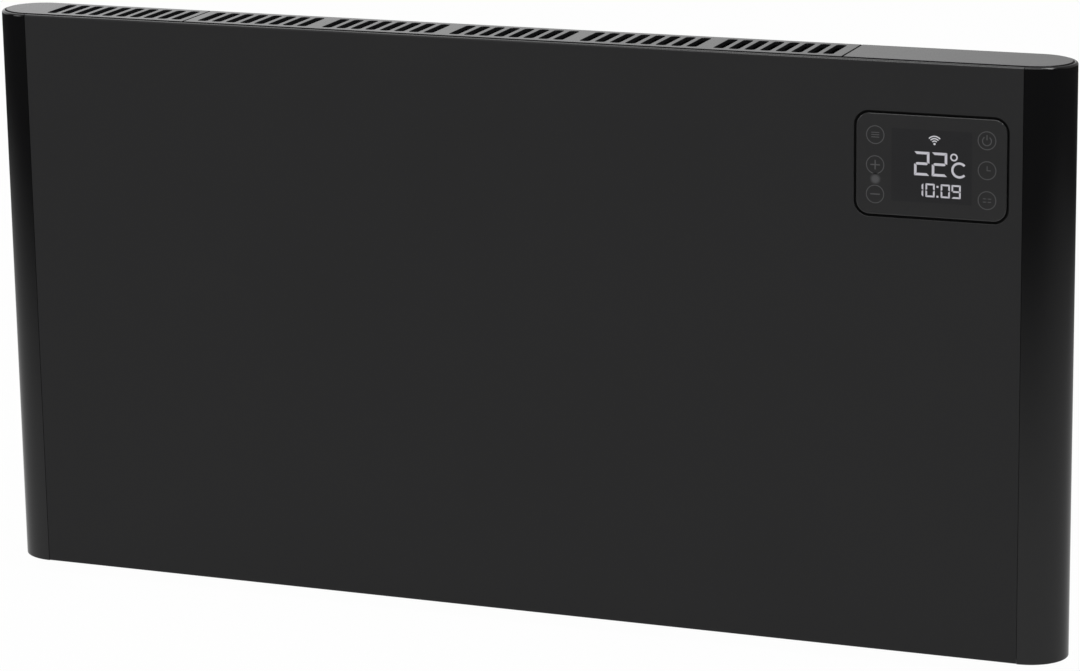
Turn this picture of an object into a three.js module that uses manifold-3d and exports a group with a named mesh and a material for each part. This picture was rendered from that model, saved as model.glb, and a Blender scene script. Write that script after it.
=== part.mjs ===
// Slim wall panel convector heater with a touch display, hung on a steel wall bracket.
//
// Millimetres, +Z up. The wall is the plane y = 0 and the heater hangs in front of it towards -Y.
// x = 0 is the middle of the width and z = 0 is half the height. Inside the heater's own group the
// back face of the casing is y = 0 and its front face is y = -BODY_DEPTH.

import * as THREE from 'three';
import { mergeVertices } from 'three/addons/utils/BufferGeometryUtils.js';
import Module from 'manifold-3d';

const wasm = await Module();
wasm.setup();

// ---------------------------------------------------------------------------------------------
// Driving dimensions
// ---------------------------------------------------------------------------------------------

// Clearances
const GAP = 0.3; // between two pieces that touch
const SEAM_GAP = 0.6; // upright joint between a panel and an end profile
const COVER_JOINT = 0.8; // joint between two top covers
const RUN_CLEARANCE = 0.5; // round a piece that moves

// Casing
const BODY_WIDTH = 870;
const BODY_HEIGHT = 450;
const BODY_DEPTH = 57.5;
const WALL_GAP = 20; // air space between the wall and the casing's back
const SHEET = 1.2; // front and back panels
const END_WIDTH = 32; // rounded end profile, along the width
const RIM_WIDTH = 2.6; // folded top edge of the panels, and wall of the end profiles
const RIM_ROUND = 1.1; // rounding of the rim
const BOTTOM_ROUND = 1.5; // rounding of the lower outer edge
const LEDGE_DEPTH = 3; // top ledge below the rim
const LEDGE_WIDTH = 4.5;
const LIP_WIDTH = 11; // lower edge of the panels, folded inwards
const TONGUE_WIDTH = 12; // end profile's lap in front of the back panel
const FRONT_TONGUE_WIDTH = 5; // and behind the front panel, beside the display
const TONGUE_THICKNESS = 1.6;
const TONGUE_END = 4; // tongue's distance from the ledges and lips
const END_FLOOR_RECESS = 3;
const END_FLOOR = 2;
const BOSS_RADIUS = 4;
const BOSS_LENGTH = 8;
const END_SCREW_Z = 150; // above and below the middle

// Top covers
const GROOVE = 1; // dark line between the rim and the covers
const RAIL_THICKNESS = 1.6; // stiffening rails under the covers
const RAIL_DEPTH = 9;
const SLOT_END_CLEARANCE = 0.75; // from the end of a slot to the rail
const SLOT_PITCH = 12.05;
const SLOT_WIDTH = 7.8;
const SLOT_RADIUS = 2.4;
const SLOTS_PER_GROUP = 8;
const GROUP_SPACE = 17.6; // plain strip between two groups of slots
const FIRST_SLOT_MARGIN = 14.6; // left seam to the first slot
const SLOT_MARGIN = 5; // least distance from a slot to a cover's end
const CLIP_LENGTH = 18;
const CLIP_REACH = 1.5;
const CLIP_HEIGHT = 1.8;
const CLIP_END_MARGIN = 20;

// Underside
const INTAKE_PITCH = 22;
const INTAKE_WIDTH = 9;
const INTAKE_MARGIN = 2; // from a slot's end to the lips
const INTAKE_END_MARGIN = 14;
const FLOOR_SHEET = 1.5;
const FLOOR_INSET = 4; // floor plates' edge, from the casing's outer faces
const FLOOR_FLANGE = 14; // rear flange that the screws hold
const RECESS_DEPTH = 6.5; // connection recess above the lips
const FLOOR_SCREW_INSET = 60;

// Screws through the back panel
const SCREW_RADIUS = 1.75;
const SCREW_HOLE_RADIUS = 2.1;
const SCREW_HEAD_RADIUS = 3.5;
const SCREW_HEAD = 2;
const SCREW_LENGTH = 8;
const SCREW_SIDES = 8;

// Display
const DISPLAY_WIDTH = 113.4; // glass
const DISPLAY_HEIGHT = 75.8;
const DISPLAY_RADIUS = 10;
const DISPLAY_GLASS = 3;
const DISPLAY_GROOVE = 1.4; // open line round the glass
const DISPLAY_SIDE_MARGIN = 10.2; // panel opening to the seam, and to the bulkhead
const DISPLAY_TOP_MARGIN = 38.3; // panel opening to the top of the casing
const BEZEL_LAP = 4; // housing's flange behind the panel
const BEZEL_FLANGE = 2.5;
const POCKET_DEPTH = 1.8; // glass pocket in the housing's front
const HOUSING_DEPTH = 16;
const HOUSING_WALL = 2;
const HOUSING_FLOOR = 4;
const SCREEN_WIDTH = 66;
const SCREEN_HEIGHT = 46;
const SCREEN_THICKNESS = 4;
const BOARD_THICKNESS = 1.6;
const BOARD_INSET = 1; // display board to the housing's walls
const RADIO_SIZE = { x: 18, y: 3, z: 25 };
const RADIO_OFFSET = { x: 30, z: 12 };

// Bulkhead and electronics bay
const BULKHEAD_SHEET = 1.2;
const BULKHEAD_OFFSET = 1.6; // behind the joint of the top covers
const BULKHEAD_FLANGE = 12;
const BULKHEAD_END = 1; // to the floor plates and cover rails
const BULKHEAD_FRONT = 1; // to the front panel
const LEAD_HOLE_RADIUS = 13;
const TRAY_WIDTH = 98;
const TRAY_HEIGHT = 250;
const TRAY_THICKNESS = 2;
const TRAY_BOTTOM_MARGIN = 34; // above the bottom of the casing
const TRAY_SIDE_MARGIN = 14; // from the seam
const POST_RADIUS = 3;
const POST_HEIGHT = 6;
const POST_INSET = 6;
const BOARD_WIDTH = 90;
const BOARD_HEIGHT = 140;
const BOARD_TOP_MARGIN = 8; // power board below the tray's top
const RELAY_SIZE = { x: 19, y: 16, z: 15.5 };
const RELAY_AT = { x: -26, z: -44 };
const TRANSFORMER_SIZE = { x: 36, y: 26, z: 30 };
const TRANSFORMER_AT = { x: 18, z: -34 };
const TRANSFORMER_BOBBIN = 5; // winding's step beyond the core
const CAPACITOR_SIZE = { x: 20, y: 14, z: 8 };
const CAPACITOR_AT = { x: -24, z: 6 };
const TERMINAL_SIZE = { x: 16, y: 22, z: 62 };
const TERMINAL_WAYS = 5;
const TERMINAL_NOTCH = 5;
const TERMINAL_RIB = 2;
const TERMINAL_INSET = 4; // from the tray's left edge
const TERMINAL_BOTTOM = 12; // above the tray's lower edge
const RIBBON_WIDTH = 14;
const RIBBON_THICKNESS = 0.8;
const RIBBON_BEND = 9;
const RIBBON_STEPS = 5; // round each bend

// Heating
const ELEMENT_MARGIN = 46; // bracket to the left seam
const ELEMENT_BULKHEAD_MARGIN = 41; // bracket to the bulkhead
const ELEMENT_BOTTOM_MARGIN = 90; // axis above the bottom of the casing
const ELEMENT_END_SPACE = 12; // finned body to the brackets
const FIN_THICKNESS = 1.4;
const FIN_ROOT = 6; // from the rod's axis
const FIN_REACH = 46;
const FIN_COUNT = 5;
const FIN_SPREAD = 44; // degrees, from the first fin to the last
const CORE_RADIUS = 8;
const ROD_RADIUS = 4.2;
const ROD_HOLE_RADIUS = 4.5;
const ROD_OVERHANG = 12; // past the bracket
const ROUND_SIDES = 12;
const INSULATOR_RADIUS = 5.5;
const INSULATOR_LENGTH = 10;
const PIN_RADIUS = 1.5;
const PIN_LENGTH = 6;
const BUSH_RADIUS = 8.7;
const BUSH_HOLE_RADIUS = 9;
const BUSH_FLANGE_RADIUS = 11.5;
const BUSH_FLANGE = 2;
const BUSH_LENGTH = 6;
const BRACKET_HALF_HEIGHT = 42;
const BRACKET_SHEET = 1.2;
const BRACKET_FOOT = 14;
const BAFFLE_SPACE = 8.3; // air space between the front panel and the heat baffle
const BAFFLE_SHEET = 1;
const BAFFLE_ABOVE = 110; // baffle above the element's axis
const BAFFLE_BELOW = 50;
const CUTOUT_RADIUS = 7.5;
const CUTOUT_THICKNESS = 7;
const CUTOUT_Z = 27; // above the element's axis
const CUTOUT_TAB = { x: 7, y: 5, z: 0.8 };
const FUSE_RADIUS = 2.2;
const FUSE_LENGTH = 14;
const FUSE_Z = -22;
const LEAD_RADIUS = 1.6;
const LEAD_SIDES = 8;
const LEAD_SPACING = 16; // between the two leads at the terminals
const LEAD_DROP = 52; // long lead below the element's axis
const LEAD_CLEARANCE = 4; // long lead to the back panel
const LEAD_BEND = 8; // radius of a lead's turn
const LEAD_RISE = 48; // long lead's slope up to the bulkhead
const SHORT_LEAD_STEPS = 14;
const LONG_LEAD_STEPS = 40;

// Mains side: rocker switch, cable gland and room sensor in the connection recess
const ROCKER_FROM_SEAM = 36;
const ROCKER_CUTOUT = { x: 19.2, y: 13.2 };
const ROCKER_WALL = 1.2;
const ROCKER_BODY = 15;
const BEZEL_OVERLAP = 2.6;
const BEZEL_THICKNESS = 1.2;
const ROCKER_TILT = 9; // degrees, each way from level
const ROCKER_PIVOT = 2; // above the plate's lower face
const ROCKER_HALF_LENGTH = 7;
const ROCKER_APEX = 5.2; // pivot to the ridge of the key
const ROCKER_TOP = 3;
const TRUNNION_RADIUS = 1.4;
const TRUNNION_HOLE_RADIUS = 1.8;
const TRUNNION_END = 0.9;
const GLAND_FROM_SEAM = 92;
const GLAND_NECK_RADIUS = 6;
const GLAND_HOLE_RADIUS = 6.4;
const GLAND_BORE_RADIUS = 4;
const GLAND_COLLAR_RADIUS = 9;
const GLAND_COLLAR = 4.5;
const GLAND_CHAMFER = 1;
const GLAND_NECK = 9;
const NUT_RADIUS = 9.5;
const NUT_THICKNESS = 4;
const NUT_SIDES = 6;
const SENSOR_FROM_SEAM = 64;
const SENSOR_RADIUS = 2.5;
const SENSOR_LENGTH = 18;
const SENSOR_CLIP = { x: 6, y: 9, z: 6 };
const SENSOR_CLIP_MOUTH = 3.4;
const SENSOR_VENTS = 3;
const SENSOR_VENT = { x: 3, y: 16, pitch: 7 };

// Wall bracket
const STEEL = 2;
const UPRIGHT_SPACING = 400; // between the middles of the two uprights
const UPRIGHT_HEIGHT = 310;
const UPRIGHT_TOP_MARGIN = 35; // below the top of the casing
const FOOT_WIDTH = 24;
const WALL_HOLE_RADIUS = 3.25;
const WALL_HOLE_MARGIN = 30; // from the upright's ends
const CROSSBAR_HEIGHT = 60;
const CROSSBAR_TAB = 14;
const CROSSBAR_HOLE_X = 120;
const HOOK_FROM_FOOT = 40; // upper edge of the hook's arm above the upright's lower end
const HOOK_ARM = 6;
const HOOK_TIP = 10;
const HOOK_THICKNESS = 3;
const HOOK_ENTRY = 2; // extra height of the panel's slot
const HOOK_SIDE = 2; // slot's room beside a hook
const RIVET_RADIUS = 2.2;
const RIVET_HOLE_RADIUS = 2.5;
const RIVET_HEAD_RADIUS = 4;
const RIVET_HEAD = 1.5;
const RIVET_SPACING = 36;
const ROUND_HOLE_SIDES = 12;

// Sprung catches on the bracket
const CATCH_TRAVEL = 6;
const CATCH_WIDTH = 10;
const CATCH_HEIGHT = 16;
const CATCH_DEPTH = 12;
const CATCH_TAB_DEPTH = 15;
const CATCH_TAB_SPACING = 38; // between the two tabs, inside
const CATCH_TAB_FROM_TOP = 14; // upper tab below the upright's top
const CATCH_TAB_REACH = 16;
const STEM_RADIUS = 2;
const STEM_HOLE_RADIUS = 2.5;
const STEM_OVERHANG = 3;
const THUMB_STEM = { x: 5, y: 4 };
const THUMB_PAD = { x: 12, y: 12, z: 3 };
const THUMB_CLEARANCE = 1.5;
const NOSE_WIDTH = 8;
const NOSE_ARM = 5;
const NOSE_TIP = 5;
const NOSE_FROM_BLOCK = 9; // arm's upper edge above the block's lower end
const SPRING_RADIUS = 3.4;
const SPRING_WIRE_RADIUS = 0.5;
const SPRING_TURNS = 6;
const SPRING_STEPS_PER_TURN = 8;
const SPRING_WIRE_SIDES = 5;

// ---------------------------------------------------------------------------------------------
// Places worked out from them
// ---------------------------------------------------------------------------------------------

const TOP = BODY_HEIGHT / 2;
const BOTTOM = -BODY_HEIGHT / 2;
const FRONT = -BODY_DEPTH;
const MIDDLE = -BODY_DEPTH / 2;
const PANEL_BACK = FRONT + SHEET; // inner face of the front panel
const BACK_INSIDE = -SHEET; // inner face of the back panel
const SEAM_X = BODY_WIDTH / 2 - END_WIDTH;
const PANEL_HALF_WIDTH = SEAM_X - SEAM_GAP / 2;
const LEDGE_TOP = TOP - LEDGE_DEPTH;
const COVER_THICKNESS = LEDGE_DEPTH - GAP;
const COVER_INSET = RIM_WIDTH + GROOVE;
const RAIL_OFFSET = RIM_WIDTH + LEDGE_WIDTH + GAP;
const SLOT_LENGTH = BODY_DEPTH - 2 * (RAIL_OFFSET + RAIL_THICKNESS + SLOT_END_CLEARANCE);
const OPENING_WIDTH = DISPLAY_WIDTH + 2 * DISPLAY_GROOVE;
const OPENING_HEIGHT = DISPLAY_HEIGHT + 2 * DISPLAY_GROOVE;
const OPENING_RADIUS = DISPLAY_RADIUS + DISPLAY_GROOVE;
const BAY_WIDTH = OPENING_WIDTH + 2 * DISPLAY_SIDE_MARGIN;
const JOINT_X = SEAM_X - BAY_WIDTH;
const DISPLAY_X = SEAM_X - BAY_WIDTH / 2;
const DISPLAY_Z = TOP - DISPLAY_TOP_MARGIN - OPENING_HEIGHT / 2;
const FLOOR_Z = BOTTOM + SHEET + GAP; // lower face of the floor plates
const RECESS_Z = FLOOR_Z + RECESS_DEPTH; // lower face of the recessed plate
const END_SCREW_X = SEAM_X - TONGUE_WIDTH / 2;
const FLOOR_SCREW_Z = FLOOR_Z + FLOOR_SHEET + FLOOR_FLANGE / 2;
const RECESS_SCREW_X = DISPLAY_X;
const RECESS_SCREW_Z = RECESS_Z + FLOOR_SHEET + FLOOR_FLANGE / 2;
const REAR_FLANGE_BACK = BACK_INSIDE - GAP;
const ROCKER_X = SEAM_X - ROCKER_FROM_SEAM;
const GLAND_X = SEAM_X - GLAND_FROM_SEAM;
const SENSOR_X = SEAM_X - SENSOR_FROM_SEAM;
const SENSOR_Z = FLOOR_SHEET + GAP + SENSOR_CLIP.z - SENSOR_RADIUS;
const BULKHEAD_X = JOINT_X + BULKHEAD_OFFSET;
const BULKHEAD_TOP = TOP - COVER_THICKNESS - RAIL_DEPTH - BULKHEAD_END;
const BULKHEAD_BOTTOM = RECESS_Z + FLOOR_SHEET + BULKHEAD_END;
const ELEMENT_Z = BOTTOM + ELEMENT_BOTTOM_MARGIN;
const BAFFLE_BACK = PANEL_BACK + BAFFLE_SPACE + BAFFLE_SHEET;
const ELEMENT_Y = (BAFFLE_BACK + BACK_INSIDE) / 2;
const ELEMENT_LEFT = -SEAM_X + ELEMENT_MARGIN; // middle of the left bracket's web
const ELEMENT_RIGHT = BULKHEAD_X - ELEMENT_BULKHEAD_MARGIN;
const ELEMENT_X = (ELEMENT_LEFT + ELEMENT_RIGHT) / 2;
const ELEMENT_HALF = (ELEMENT_RIGHT - ELEMENT_LEFT) / 2;
const TRAY_X = SEAM_X - TRAY_SIDE_MARGIN - TRAY_WIDTH / 2;
const TRAY_Z = BOTTOM + TRAY_BOTTOM_MARGIN + TRAY_HEIGHT / 2;
const TRAY_FRONT = BACK_INSIDE - GAP - TRAY_THICKNESS;
const TERMINAL_X = TRAY_X - TRAY_WIDTH / 2 + TERMINAL_INSET + TERMINAL_SIZE.x / 2;
const TERMINAL_Y = TRAY_FRONT - GAP - TERMINAL_SIZE.y / 2;
const TERMINAL_Z = TRAY_Z - TRAY_HEIGHT / 2 + TERMINAL_BOTTOM + TERMINAL_SIZE.z / 2;
const BOARD_BACK = TRAY_FRONT - POST_HEIGHT - GAP;
const BOARD_FRONT = BOARD_BACK - BOARD_THICKNESS;
const BOARD_Z = TRAY_Z + TRAY_HEIGHT / 2 - BOARD_TOP_MARGIN - BOARD_HEIGHT / 2;
const UPRIGHT_X = UPRIGHT_SPACING / 2;
const UPRIGHT_TOP = TOP - UPRIGHT_TOP_MARGIN;
const UPRIGHT_BOTTOM = UPRIGHT_TOP - UPRIGHT_HEIGHT;
const WEB_FRONT = -(WALL_GAP - GAP); // front edge of the uprights
const HOOK_BACK = -(WALL_GAP + SHEET + GAP); // inner face of the hooks' and noses' tips
const HOOK_FRONT = HOOK_BACK - HOOK_THICKNESS;
const HOOK_Z = UPRIGHT_BOTTOM + HOOK_FROM_FOOT; // upper edge of the hooks' arms
const CATCH_X = UPRIGHT_X - STEEL / 2 - CATCH_TAB_REACH / 2;
const TAB_TOP_Z = UPRIGHT_TOP - CATCH_TAB_FROM_TOP; // upper face of the upper tab
const TAB_LOW_Z = TAB_TOP_Z - STEEL - CATCH_TAB_SPACING; // upper face of the lower tab
const CATCH_TOP_Z = TAB_TOP_Z - STEEL - GAP;
const CATCH_BOTTOM_Z = CATCH_TOP_Z - CATCH_HEIGHT;
const CATCH_FRONT = -(WALL_GAP - GAP - RUN_CLEARANCE);
const CATCH_Y = CATCH_FRONT + CATCH_DEPTH / 2;
const NOSE_Z = CATCH_BOTTOM_Z + NOSE_FROM_BLOCK; // upper edge of the noses' arms

// ---------------------------------------------------------------------------------------------
// Finishes
// ---------------------------------------------------------------------------------------------

const finish = (color, roughness, metalness) => ({ color, roughness, metalness });
const ANTHRACITE = finish(0x1f1f20, 0.55, 0.3);
const GLOSS_BLACK = finish(0x0c0c0d, 0.15, 0);
const SATIN_BLACK = finish(0x151516, 0.45, 0);
const BLACK_GLASS = finish(0x09090a, 0.06, 0);
const BLACK_STEEL = finish(0x1b1b1c, 0.5, 0.4);
const ZINC = finish(0xb9bcbf, 0.35, 0.9);
const ALUMINIUM = finish(0xc4c6c8, 0.4, 0.9);
const CERAMIC = finish(0xe4dfd2, 0.6, 0);
const SILICONE = finish(0x8f2f22, 0.8, 0);
const GREEN_BOARD = finish(0x1f5a34, 0.5, 0);
const BLUE_PLASTIC = finish(0x27508c, 0.45, 0);
const AMBER_PLASTIC = finish(0xb07a22, 0.5, 0);
const GREY_PLASTIC = finish(0x7b7d80, 0.55, 0);
const LCD_GREY = finish(0x2a2b2f, 0.2, 0);
const SPRING_STEEL = finish(0x9a9da1, 0.3, 0.9);

// ---------------------------------------------------------------------------------------------
// Helpers
// ---------------------------------------------------------------------------------------------

const at = (a, b) => new THREE.Vector2(a, b);
const WELD = 1e-4; // vertices nearer than this are one
const OVERCUT = 1; // how far a cutting tool runs past what it cuts, and a joined piece into its wall
const END_STEPS = 18; // round an end of the casing
const LEDGE_STEPS = 12; // round a ledge inside it
const CORNER_STEPS = 6; // round a corner of the display
const SLOT_STEPS = 2; // round a corner of an air slot
const RIM_STEPS = 3; // round each rounded edge of a panel

/** A closed geometry as a solid that can be cut and joined. */
function toSolid(geometry) {
  const bare = geometry.clone();
  bare.deleteAttribute('normal');
  bare.deleteAttribute('uv');
  const merged = mergeVertices(bare, WELD);
  return new wasm.Manifold(new wasm.Mesh({
    numProp: 3,
    vertProperties: new Float32Array(merged.attributes.position.array),
    triVerts: new Uint32Array(merged.index.array),
  }));
}

/** The geometry of a solid. */
function toGeometry(solid) {
  const { vertProperties, triVerts } = solid.getMesh();
  const geometry = new THREE.BufferGeometry();
  geometry.setAttribute('position', new THREE.BufferAttribute(vertProperties, 3));
  geometry.setIndex(new THREE.BufferAttribute(triVerts, 1));
  geometry.computeVertexNormals();
  return geometry;
}

/** Several overlapping geometries as one. */
function join(...geometries) {
  return toGeometry(geometries.map(toSolid).reduce((whole, solid) => whole.add(solid)));
}

/** A geometry with the others cut out of it. */
function cut(geometry, ...tools) {
  return toGeometry(tools.map(toSolid).reduce((whole, tool) => whole.subtract(tool),
    toSolid(geometry)));
}

/** A named mesh with its own material. */
function piece(name, geometry, surface) {
  const mesh = new THREE.Mesh(geometry, new THREE.MeshStandardMaterial(surface));
  mesh.name = name;
  return mesh;
}

/** A group of pieces with its own place. */
function assembly(x, y, z, ...members) {
  const group = new THREE.Group();
  group.position.set(x, y, z);
  group.add(...members);
  return group;
}

/** A box between two corners. */
function block(x0, x1, y0, y1, z0, z1) {
  return new THREE.BoxGeometry(x1 - x0, y1 - y0, z1 - z0)
    .translate((x0 + x1) / 2, (y0 + y1) / 2, (z0 + z1) / 2);
}

/** Points of an arc of an ellipse, both ends included; angles in degrees. */
function arc(cx, cy, rx, ry, from, to, steps) {
  return Array.from({ length: steps + 1 }, (_, i) => {
    const angle = THREE.MathUtils.degToRad(from + ((to - from) * i) / steps);
    return at(cx + rx * Math.cos(angle), cy + ry * Math.sin(angle));
  });
}

/** Points of a circle. */
function circle(cx, cy, radius, sides) {
  return arc(cx, cy, radius, radius, 0, 360, sides).slice(0, sides);
}

/** Points of a rectangle. */
function rectangle(cx, cy, width, height) {
  const [w, h] = [width / 2, height / 2];
  return [at(cx - w, cy - h), at(cx + w, cy - h), at(cx + w, cy + h), at(cx - w, cy + h)];
}

/** Points of a rectangle with rounded corners. */
function roundedRectangle(cx, cy, width, height, radius, steps) {
  const [w, h] = [width / 2 - radius, height / 2 - radius];
  return [
    ...arc(cx - w, cy - h, radius, radius, 180, 270, steps),
    ...arc(cx + w, cy - h, radius, radius, 270, 360, steps),
    ...arc(cx + w, cy + h, radius, radius, 0, 90, steps),
    ...arc(cx - w, cy + h, radius, radius, 90, 180, steps),
  ];
}

/** An outline with holes, extruded by a length; further options round its edges. */
function extrude(points, length, holes = [], options = {}) {
  const shape = new THREE.Shape(points);
  shape.holes = holes.map((hole) => new THREE.Path(hole));
  return new THREE.ExtrudeGeometry(shape, { depth: length, bevelEnabled: false, ...options });
}

/** A prism along X from an outline in (y, z). */
function prismX(points, x0, x1, holes = []) {
  const turn = new THREE.Matrix4().makeBasis(
    new THREE.Vector3(0, 1, 0), new THREE.Vector3(0, 0, 1), new THREE.Vector3(1, 0, 0));
  return extrude(points, x1 - x0, holes).applyMatrix4(turn).translate(x0, 0, 0);
}

/** A prism along Y from an outline in (x, z). */
function prismY(points, y0, y1, holes = []) {
  return extrude(points, y1 - y0, holes).rotateX(Math.PI / 2).translate(0, y1, 0);
}

/** A prism along Z from an outline in (x, y). */
function prismZ(points, z0, z1, holes = []) {
  return extrude(points, z1 - z0, holes).translate(0, 0, z0);
}

/** A turned solid about Z from a closed outline in (radius, z). */
function turned(points, sides) {
  return new THREE.LatheGeometry([...points, points[0]], sides).rotateX(Math.PI / 2);
}

/** How many copies fit in a length, when the first one takes `first` and each other one `pitch`. */
function copiesIn(length, first, pitch) {
  return Math.max(0, Math.floor((length - first) / pitch) + 1);
}

// ---------------------------------------------------------------------------------------------
// Casing
// ---------------------------------------------------------------------------------------------

const LEFT = -1;
const RIGHT = 1;
const SIDES = [['left', LEFT], ['right', RIGHT]];

/** Section of a panel in (y, z). `face` is its outer face and `inward` the sign towards the other. */
function panelSection(face, inward) {
  const y = (depth) => face + inward * depth;
  const rim = RIM_ROUND;
  const rimArc = (centre, from, to) => arc(centre, TOP - rim, rim, rim, from, to, RIM_STEPS)
    .map((p) => at(y(p.x), p.y));
  const lowArc = arc(BOTTOM_ROUND, BOTTOM + BOTTOM_ROUND, BOTTOM_ROUND, BOTTOM_ROUND, 270, 180,
    RIM_STEPS)
    .map((p) => at(y(p.x), p.y));
  return [
    at(y(LIP_WIDTH), BOTTOM),
    ...lowArc,
    ...rimArc(rim, 180, 90),
    ...rimArc(RIM_WIDTH - rim, 90, 0),
    at(y(RIM_WIDTH), LEDGE_TOP),
    at(y(RIM_WIDTH + LEDGE_WIDTH), LEDGE_TOP),
    at(y(RIM_WIDTH + LEDGE_WIDTH), LEDGE_TOP - SHEET),
    at(y(SHEET), LEDGE_TOP - SHEET),
    at(y(SHEET), BOTTOM + SHEET),
    at(y(LIP_WIDTH), BOTTOM + SHEET),
  ];
}

function frontPanel() {
  const sheet = prismX(panelSection(FRONT, 1), -PANEL_HALF_WIDTH, PANEL_HALF_WIDTH);
  const opening = roundedRectangle(
    DISPLAY_X, DISPLAY_Z, OPENING_WIDTH, OPENING_HEIGHT, OPENING_RADIUS, CORNER_STEPS);
  const window = prismY(opening, FRONT - SHEET, PANEL_BACK + SHEET);
  return piece('front_panel', cut(sheet, window), ANTHRACITE);
}

/** Names and places (x, z) of the screws through the back panel. */
function rearScrews() {
  const screws = [];
  for (const [side, sign] of SIDES) {
    for (const [level, z] of [['upper', END_SCREW_Z], ['lower', -END_SCREW_Z]]) {
      screws.push({ name: `end_screw_${side}_${level}`, x: sign * END_SCREW_X, z });
    }
  }
  const floorLeft = -PANEL_HALF_WIDTH + FLOOR_SCREW_INSET;
  const floorRight = JOINT_X - FLOOR_SCREW_INSET;
  screws.push({ name: 'floor_screw_left', x: floorLeft, z: FLOOR_SCREW_Z });
  screws.push({ name: 'floor_screw_middle', x: floorRight, z: FLOOR_SCREW_Z });
  screws.push({ name: 'floor_screw_right', x: RECESS_SCREW_X, z: RECESS_SCREW_Z });
  return screws;
}

function backPanel() {
  const sheet = prismX(panelSection(0, -1), -PANEL_HALF_WIDTH, PANEL_HALF_WIDTH);
  const through = (points) => prismY(points, -2 * SHEET, SHEET);
  const holes = rearScrews()
    .map(({ x, z }) => through(circle(x, z, SCREW_HOLE_RADIUS, SCREW_SIDES)));
  for (const [, sign] of SIDES) {
    const hookWidth = STEEL + 2 * HOOK_SIDE;
    const hookHeight = HOOK_ARM + HOOK_TIP + HOOK_ENTRY;
    const hookTop = HOOK_Z + GAP;
    holes.push(through(rectangle(
      sign * UPRIGHT_X, hookTop - hookHeight / 2, hookWidth, hookHeight)));
    const noseWidth = NOSE_WIDTH + 2 * RUN_CLEARANCE;
    const noseHeight = GAP + NOSE_ARM + CATCH_TRAVEL + 2 * RUN_CLEARANCE;
    const noseTop = NOSE_Z + GAP;
    holes.push(through(rectangle(
      sign * CATCH_X, noseTop - noseHeight / 2, noseWidth, noseHeight)));
  }
  return piece('back_panel', cut(sheet, ...holes), BLACK_STEEL);
}

/** A rounded end of the casing: shell, cover ledge, floor, and tongues behind the panels. */
function endProfile(name, sign) {
  const outer = { a: END_WIDTH, b: BODY_DEPTH / 2 };
  const inset = (by, steps) => arc(0, MIDDLE, outer.a - by, outer.b - by, -90, 90, steps);
  const seam = SEAM_GAP / 2;
  const trimmed = TONGUE_WIDTH; // straight run that the seam cuts off, with its rounded edges
  const ring = [
    at(-trimmed, FRONT), ...inset(0, END_STEPS), at(-trimmed, 0),
    at(-trimmed, -RIM_WIDTH), ...inset(RIM_WIDTH, END_STEPS).reverse(),
    at(-trimmed, FRONT + RIM_WIDTH)];
  const shell = extrude(ring, BODY_HEIGHT - 2 * RIM_ROUND, [], {
    bevelEnabled: true,
    bevelThickness: RIM_ROUND,
    bevelSize: RIM_ROUND,
    bevelOffset: -RIM_ROUND,
    bevelSegments: 2,
  }).translate(0, 0, BOTTOM + RIM_ROUND);
  const lap = RIM_WIDTH / 2; // pieces of the profile run this far into its wall
  const ledgeOutline = [
    ...inset(RIM_WIDTH - lap, LEDGE_STEPS),
    ...inset(RIM_WIDTH + LEDGE_WIDTH, LEDGE_STEPS).reverse()];
  const ledge = prismZ(ledgeOutline, LEDGE_TOP - TONGUE_THICKNESS, LEDGE_TOP);
  const floorLow = BOTTOM + END_FLOOR_RECESS;
  const floor = prismZ(inset(RIM_WIDTH - lap, LEDGE_STEPS), floorLow, floorLow + END_FLOOR);
  const rounded = cut(join(shell, ledge, floor),
    block(-2 * trimmed, seam, FRONT - OVERCUT, OVERCUT, BOTTOM - OVERCUT, TOP + OVERCUT));

  const tongueTop = LEDGE_TOP - SHEET - TONGUE_END;
  const tongueLow = BOTTOM + SHEET + TONGUE_END;
  const tongue = (width, y0) => block(-width, 2 * lap, y0, y0 + TONGUE_THICKNESS,
    tongueLow, tongueTop);
  const rearTongueFront = BACK_INSIDE - GAP - TONGUE_THICKNESS;
  const screwAt = (radius, sides, y0, y1, z) => prismY(
    circle(END_SCREW_X - SEAM_X, z, radius, sides), y0, y1);
  const levels = [END_SCREW_Z, -END_SCREW_Z];
  const bosses = levels.map((z) => screwAt(
    BOSS_RADIUS, ROUND_HOLE_SIDES, rearTongueFront - BOSS_LENGTH, rearTongueFront + lap, z));
  const pilots = levels.map((z) => screwAt(
    SCREW_HOLE_RADIUS, SCREW_SIDES, rearTongueFront - BOSS_LENGTH - lap, lap, z));
  const whole = cut(
    join(rounded, tongue(FRONT_TONGUE_WIDTH, PANEL_BACK + GAP),
      tongue(TONGUE_WIDTH, rearTongueFront), ...bosses), ...pilots);
  const mesh = piece(name, sign === RIGHT ? whole : mirrored(whole), GLOSS_BLACK);
  mesh.position.x = sign * SEAM_X;
  return mesh;
}

/** A geometry mirrored left to right. */
function mirrored(geometry) {
  return toGeometry(toSolid(geometry).scale([-1, 1, 1]));
}

/** Outline of a slot in (x, y), from its left edge. */
function slot(left) {
  return roundedRectangle(
    left + SLOT_WIDTH / 2, MIDDLE, SLOT_WIDTH, SLOT_LENGTH, SLOT_RADIUS, SLOT_STEPS);
}

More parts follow.
